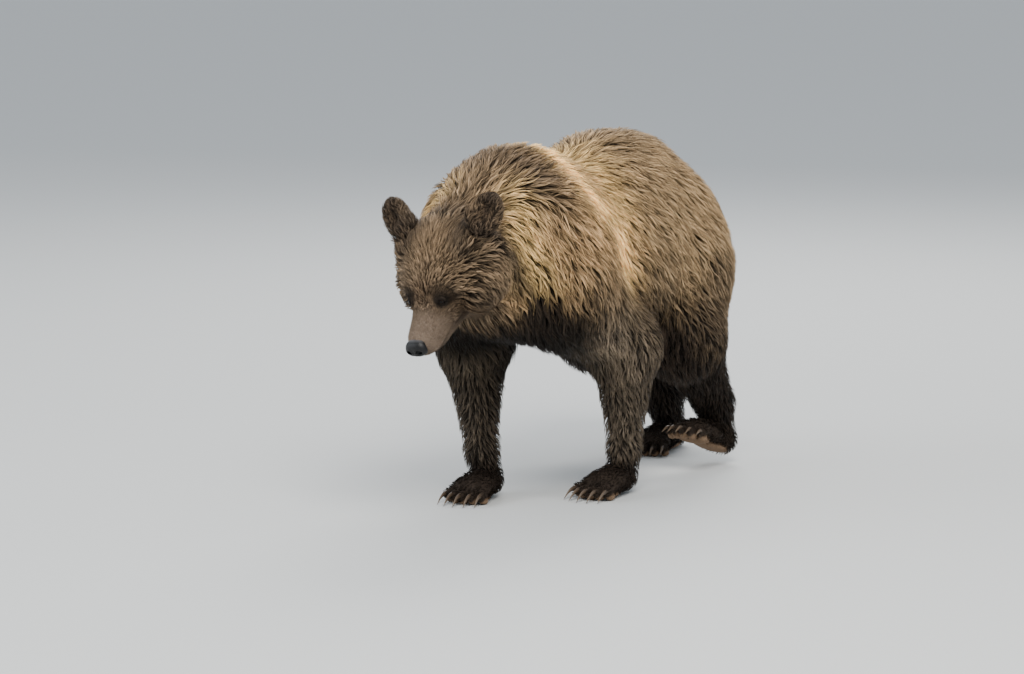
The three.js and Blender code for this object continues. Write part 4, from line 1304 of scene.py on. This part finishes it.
def make_nose():
    low = on_head(0, 270, 2) - 0.05
    points, faces = surface_nets(nose_field, low, low + 0.1, 0.0018)
    points = onto(nose_field, points, 1, 0.001)
    piece = mesh_from("nose_pad", points, faces)
    local = in_head(points)
    # Painted sheen: the pad's top, as the camera sees it, gets 1 and its lower front 0, and the nose's colour
    # turns 1 into pale grey.
    lower = 0.84 * (local[:, 1] - 275 / HEAD_UNIT) - 0.54 * (local[:, 2] + 7)
    set_values(piece.data, "along", 1 - smoothstep(lower, -17, -5))
    piece.data.materials.append(nose_material())
    return placed(piece, "nose", slot="nose_leather")


CLAW_STEPS = 12
CLAW_SIDES = 10
CLAW_ROOT = 0.012  # how far a claw reaches back into its toe


def claw_points(leg, x, y):
    """Rings round a claw's curved middle, and how far along it each point is."""
    reach = CLAW_LENGTH[leg["fore"]] + CLAW_ROOT
    drop_at_tip = 0.024 if leg["fore"] else 0.018
    shares = np.arange(CLAW_STEPS + 1) / CLAW_STEPS
    spots = []
    for t in shares:
        out = reach * t - CLAW_ROOT
        lift = 0.027 + 0.006 * math.sin(math.pi * t) - drop_at_tip * t * t
        spots.append(on_paw(leg, x * (1 + 0.1 * t), y - 0.014 - out * 0.86, lift))
    points = []
    for k, (t, spot) in enumerate(zip(shares, spots)):
        ahead = unit(spots[min(k + 1, CLAW_STEPS)] - spots[max(k - 1, 0)])
        across = unit(np.cross(ahead, [0, 0, 1]))
        lift = np.cross(across, ahead)
        half = 0.0068 * (1 - 0.93 * t**1.5)
        for j in range(CLAW_SIDES):
            turn = 2 * math.pi * j / CLAW_SIDES
            points.append(spot + (across * math.cos(turn) * 0.85 + lift * math.sin(turn) * 1.2) * half)
    return np.array(points), np.repeat(shares, CLAW_SIDES)


def claw_faces():
    faces = []
    for a, b in round_rings(CLAW_STEPS, CLAW_SIDES):
        faces += [(a, b, b + CLAW_SIDES), (a, b + CLAW_SIDES, a + CLAW_SIDES)]
    last = CLAW_STEPS * CLAW_SIDES
    for j in range(1, CLAW_SIDES - 1):
        faces += [(0, j + 1, j), (last, last + j, last + j + 1)]
    return faces


def make_claws(name, leg, material):
    for i, (x, y) in enumerate(TOES):
        points, along = claw_points(leg, x, y)
        piece = mesh_from(f"{name}_horn_{i + 1}", points, claw_faces())
        set_values(piece.data, "along", along)
        piece.data.materials.append(material)
        placed(piece, f"{name}_claw_{i + 1}", slot="claw")


# ---- Building ----
FLESH = [
    "head", "muzzle", "lower_jaw", "left_ear", "right_ear", "neck", "chest", "barrel", "rump", "tail",
    *[f"{name}_{part}" for name in LEGS for part in ("upper", "lower", "foot")],
]
EAR_DEPTH = 0.011  # the coat's depth on an ear


def dress_skin(skin, skin_map, on_ear, on_pad):
    """Gives the skin the coat's colours, with their painted shade, and its short velvet where no long coat
    grows.
    """
    short = smoothstep(skin_map.look["depth"], 0.014, 0.008)
    set_values(skin.data, "coat_colour", skin_map.look["colour"])
    set_values(skin.data, "bare", np.maximum.reduce([short, on_pad.astype(float), on_ear * 0.6]))
    skin.data.materials.append(skin_material())
    placed(skin, *FLESH, slot="body_coat")


def best_weight(p, paths, radius):
    return np.max([stroke_weight(p, path, radius) for path in paths], axis=0)


def coat_zones(skin_map, on_ear, on_pad):
    """What grows where: how dense, long, wide, wavy and drawn together the tufts of each zone are."""
    p, look = skin_map.points, skin_map.look
    u, ahead, up = in_head(p).T
    aside = np.abs(u)
    near_eye = eye_gap(p)
    part = look["part"]
    # Hair runs down the bridge of the nose past the eyes, and gets shorter.
    on_bridge = (part == SNOUT) & (ahead < 184 - 0.5 * aside) & (up - mouth_level(ahead) > 8)
    bridge_depth = 0.0088 - 0.00009 * np.maximum(ahead - 145, 0)
    part = np.where(on_bridge, HEAD, part)
    look["depth"] = np.where(on_ear, EAR_DEPTH, look["depth"])
    look["depth"] = np.where(on_bridge, np.maximum(look["depth"], bridge_depth), look["depth"])
    look["damp"] = 1 - smoothstep(np.abs(over_wet_line(p) - 0.03), 0.1, 0.26)
    look["glow"] = 2.4 * best_weight(p, both(STRIPE), 0.054) + 1.4 * best_weight(p, both(COLLAR), 0.045)
    ear_up = np.where(p[:, :1] > HEAD_CENTRE[0], [0.42, 0.25, 0.9], [-0.42, 0.25, 0.9])
    look["lie"] = np.where(on_ear[:, None], unit(ear_up), look["lie"])
    # The dense coat of the brow overlaps that of the cheeks a little.
    only_brow = (aside < 66) & (up > 14 + 0.25 * aside) & (ahead > -25) | on_bridge
    at_brow = (aside < 78) & (up > 4 + 0.25 * aside) & (ahead > -40) | on_bridge
    hairy = ~on_pad & (near_eye > EYE_RADIUS * 1.12)
    off_ear = hairy & ~on_ear
    on_face = off_ear & (part == HEAD) & (near_eye >= LID_REACH)
    body = {"material": coat_material("long_fur"), "slot": "body_coat"}
    leg = {"material": coat_material("wet_fur", 0.35, 1.1), "slot": "leg_coat"}
    muzzle = {"material": coat_material("short_fur", 0.8, 1.15), "slot": "muzzle_coat"}
    ear = {"material": coat_material("ear_fur", 0.4, 1.2), "slot": "ear_coat"}

    def zone(fur, **own):
        return {"rise": 1, "crest": 0, "hang": 0, "contrast": 1.0, "crimp": 1.0, **fur, **own}

    return {
        "coat_body": zone(
            body, chosen=off_ear & (part == BODY), density=22500, lock=0.0135, length=2.1, width=0.00135,
            sway=0.32, wave=0.35, crimp=1.3, draw=0.85, sink=0.004, rings=3, crest=0.25, hang=0.016,
        ),
        "coat_cheeks": zone(
            body, chosen=on_face & ~only_brow, density=95000, lock=0.0105, length=2.3, width=0.001,
            sway=0.3, wave=0.5, crimp=2.0, draw=0.82, sink=0.003, rings=4, rise=1.15,
        ),
        "coat_brow": zone(
            body, chosen=on_face & at_brow, density=160000, lock=0.006, length=1.7, width=0.0008,
            sway=0.25, wave=0.3, crimp=1.5, draw=0.6, sink=0.002, rings=2, contrast=0.6, rise=1.25,
        ),
        "coat_lids": zone(
            body, chosen=hairy & (near_eye < 0.04), density=400000, lock=0.004, length=2.2, width=0.0005,
            sway=0.15, wave=0.1, draw=0.3, sink=0.001, rings=1, contrast=0.4, rise=0.7,
        ),
        "coat_muzzle": zone(
            muzzle, chosen=off_ear & (part == SNOUT), density=330000, lock=0.005, length=2.4, width=0.0005,
            sway=0.1, wave=0.05, draw=0.1, sink=0.001, rings=1, contrast=0.3, rise=0.9,
        ),
        "coat_ears": zone(
            ear, chosen=hairy & on_ear, density=130000, lock=0.007, length=2.4, width=0.0009,
            sway=0.4, wave=0.2, draw=0.6, sink=0.002, rings=2, contrast=0.8,
        ),
        "coat_legs": zone(
            leg, chosen=off_ear & (part == LOWER_LEG), density=22000, lock=0.013, length=2.4, width=0.0015,
            sway=0.25, wave=0.2, crimp=1.3, draw=0.8, sink=0.003, rings=2, contrast=0.9,
        ),
        "coat_paws": zone(
            leg, chosen=off_ear & (part == PAW), density=33000, lock=0.01, length=2.0, width=0.0012,
            sway=0.2, wave=0.1, draw=0.5, sink=0.002, rings=2, contrast=0.7,
        ),
    }


skin = make_skin()
unwrap(skin)
skin_map = SkinMap(skin.data)
on_ear = ear_nearness(skin_map.points)
on_pad = pad_distance(skin_map.points) < 0.0015
dress_skin(skin, skin_map, on_ear, on_pad)
for name, zone in coat_zones(skin_map, on_ear, on_pad).items():
    make_coat(name, make_tufts(skin_map, zone), zone)
for name, eye in EYES.items():
    make_eye(name, eye)
make_nose()
horn = claw_material()
for name, leg in LEGS.items():
    make_claws(name, leg, horn)


# ---- Floor, light and camera ----
def make_floor():
    far = 30.0
    corners = [[-far, -far, 0], [far, -far, 0], [far, far, 0], [-far, far, 0]]
    piece = mesh_from("floor", corners, [(0, 1, 2, 3)])
    material, _, shader = new_material("floor_paint", 0.85)
    shader.inputs["Base Color"].default_value = (0.62, 0.63, 0.62, 1)
    piece.data.materials.append(material)


def stood(data, at, facing):
    """A lamp or a camera in its place, turned the way that it faces."""
    made = bpy.data.objects.new(data.name, data)
    made.location = at
    made.rotation_euler = facing.to_track_quat("-Z", "Y").to_euler()
    bpy.context.scene.collection.objects.link(made)
    return made


def make_light(name, at, target, size, watts, colour):
    data = bpy.data.lights.new(name, "AREA")
    data.shape = "DISK"
    data.size = size
    data.energy = watts
    data.color = colour
    stood(data, at, Vector(target) - Vector(at))


CAMERA_AZIMUTH = math.radians(29)
CAMERA_HEIGHT = math.radians(8)
CAMERA_DISTANCE = 12.0
FOCAL_PIXELS = 4080
IMAGE = (1024, 674)
AIM_PIXEL = (577.3, 316.8)  # where the point half a metre over the bear's own origin lies in the picture
SENSOR = 36.0


def make_camera():
    side, height = CAMERA_AZIMUTH, CAMERA_HEIGHT
    back = np.array([math.sin(side) * math.cos(height), -math.cos(side) * math.cos(height), math.sin(height)])
    right = np.array([math.cos(side), math.sin(side), 0])
    up = np.cross(back, right)
    target = np.array([0, 0, 0.5]) + SHIFT
    place = target + back * CAMERA_DISTANCE
    per_pixel = CAMERA_DISTANCE / FOCAL_PIXELS
    aside, above = IMAGE[0] / 2 - AIM_PIXEL[0], AIM_PIXEL[1] - IMAGE[1] / 2
    aim = target + (right * aside + up * above) * per_pixel
    data = bpy.data.cameras.new("camera")
    data.sensor_width = SENSOR
    data.lens = FOCAL_PIXELS / IMAGE[0] * SENSOR
    data.clip_end = 100
    bpy.context.scene.camera = stood(data, place, Vector(aim - place))


def make_world():
    world = bpy.data.worlds.new("studio")
    world.use_nodes = True
    sky = world.node_tree.nodes["Background"].inputs
    sky["Color"].default_value = (0.86, 0.92, 1.0, 1)
    sky["Strength"].default_value = 0.8
    bpy.context.scene.world = world


make_floor()
make_world()
make_light("key", (3.5, -4.0, 6.0), (0, 0, 0.6), 4.0, 600, (1.0, 0.97, 0.92))
make_light("fill", (-5.0, -4.5, 3.5), (0, 0, 0.5), 5.0, 220, (0.92, 0.96, 1.0))
make_light("rim", (-1.5, 5.0, 5.0), (0, 0, 0.7), 4.0, 300, (1.0, 0.98, 0.95))
make_camera()
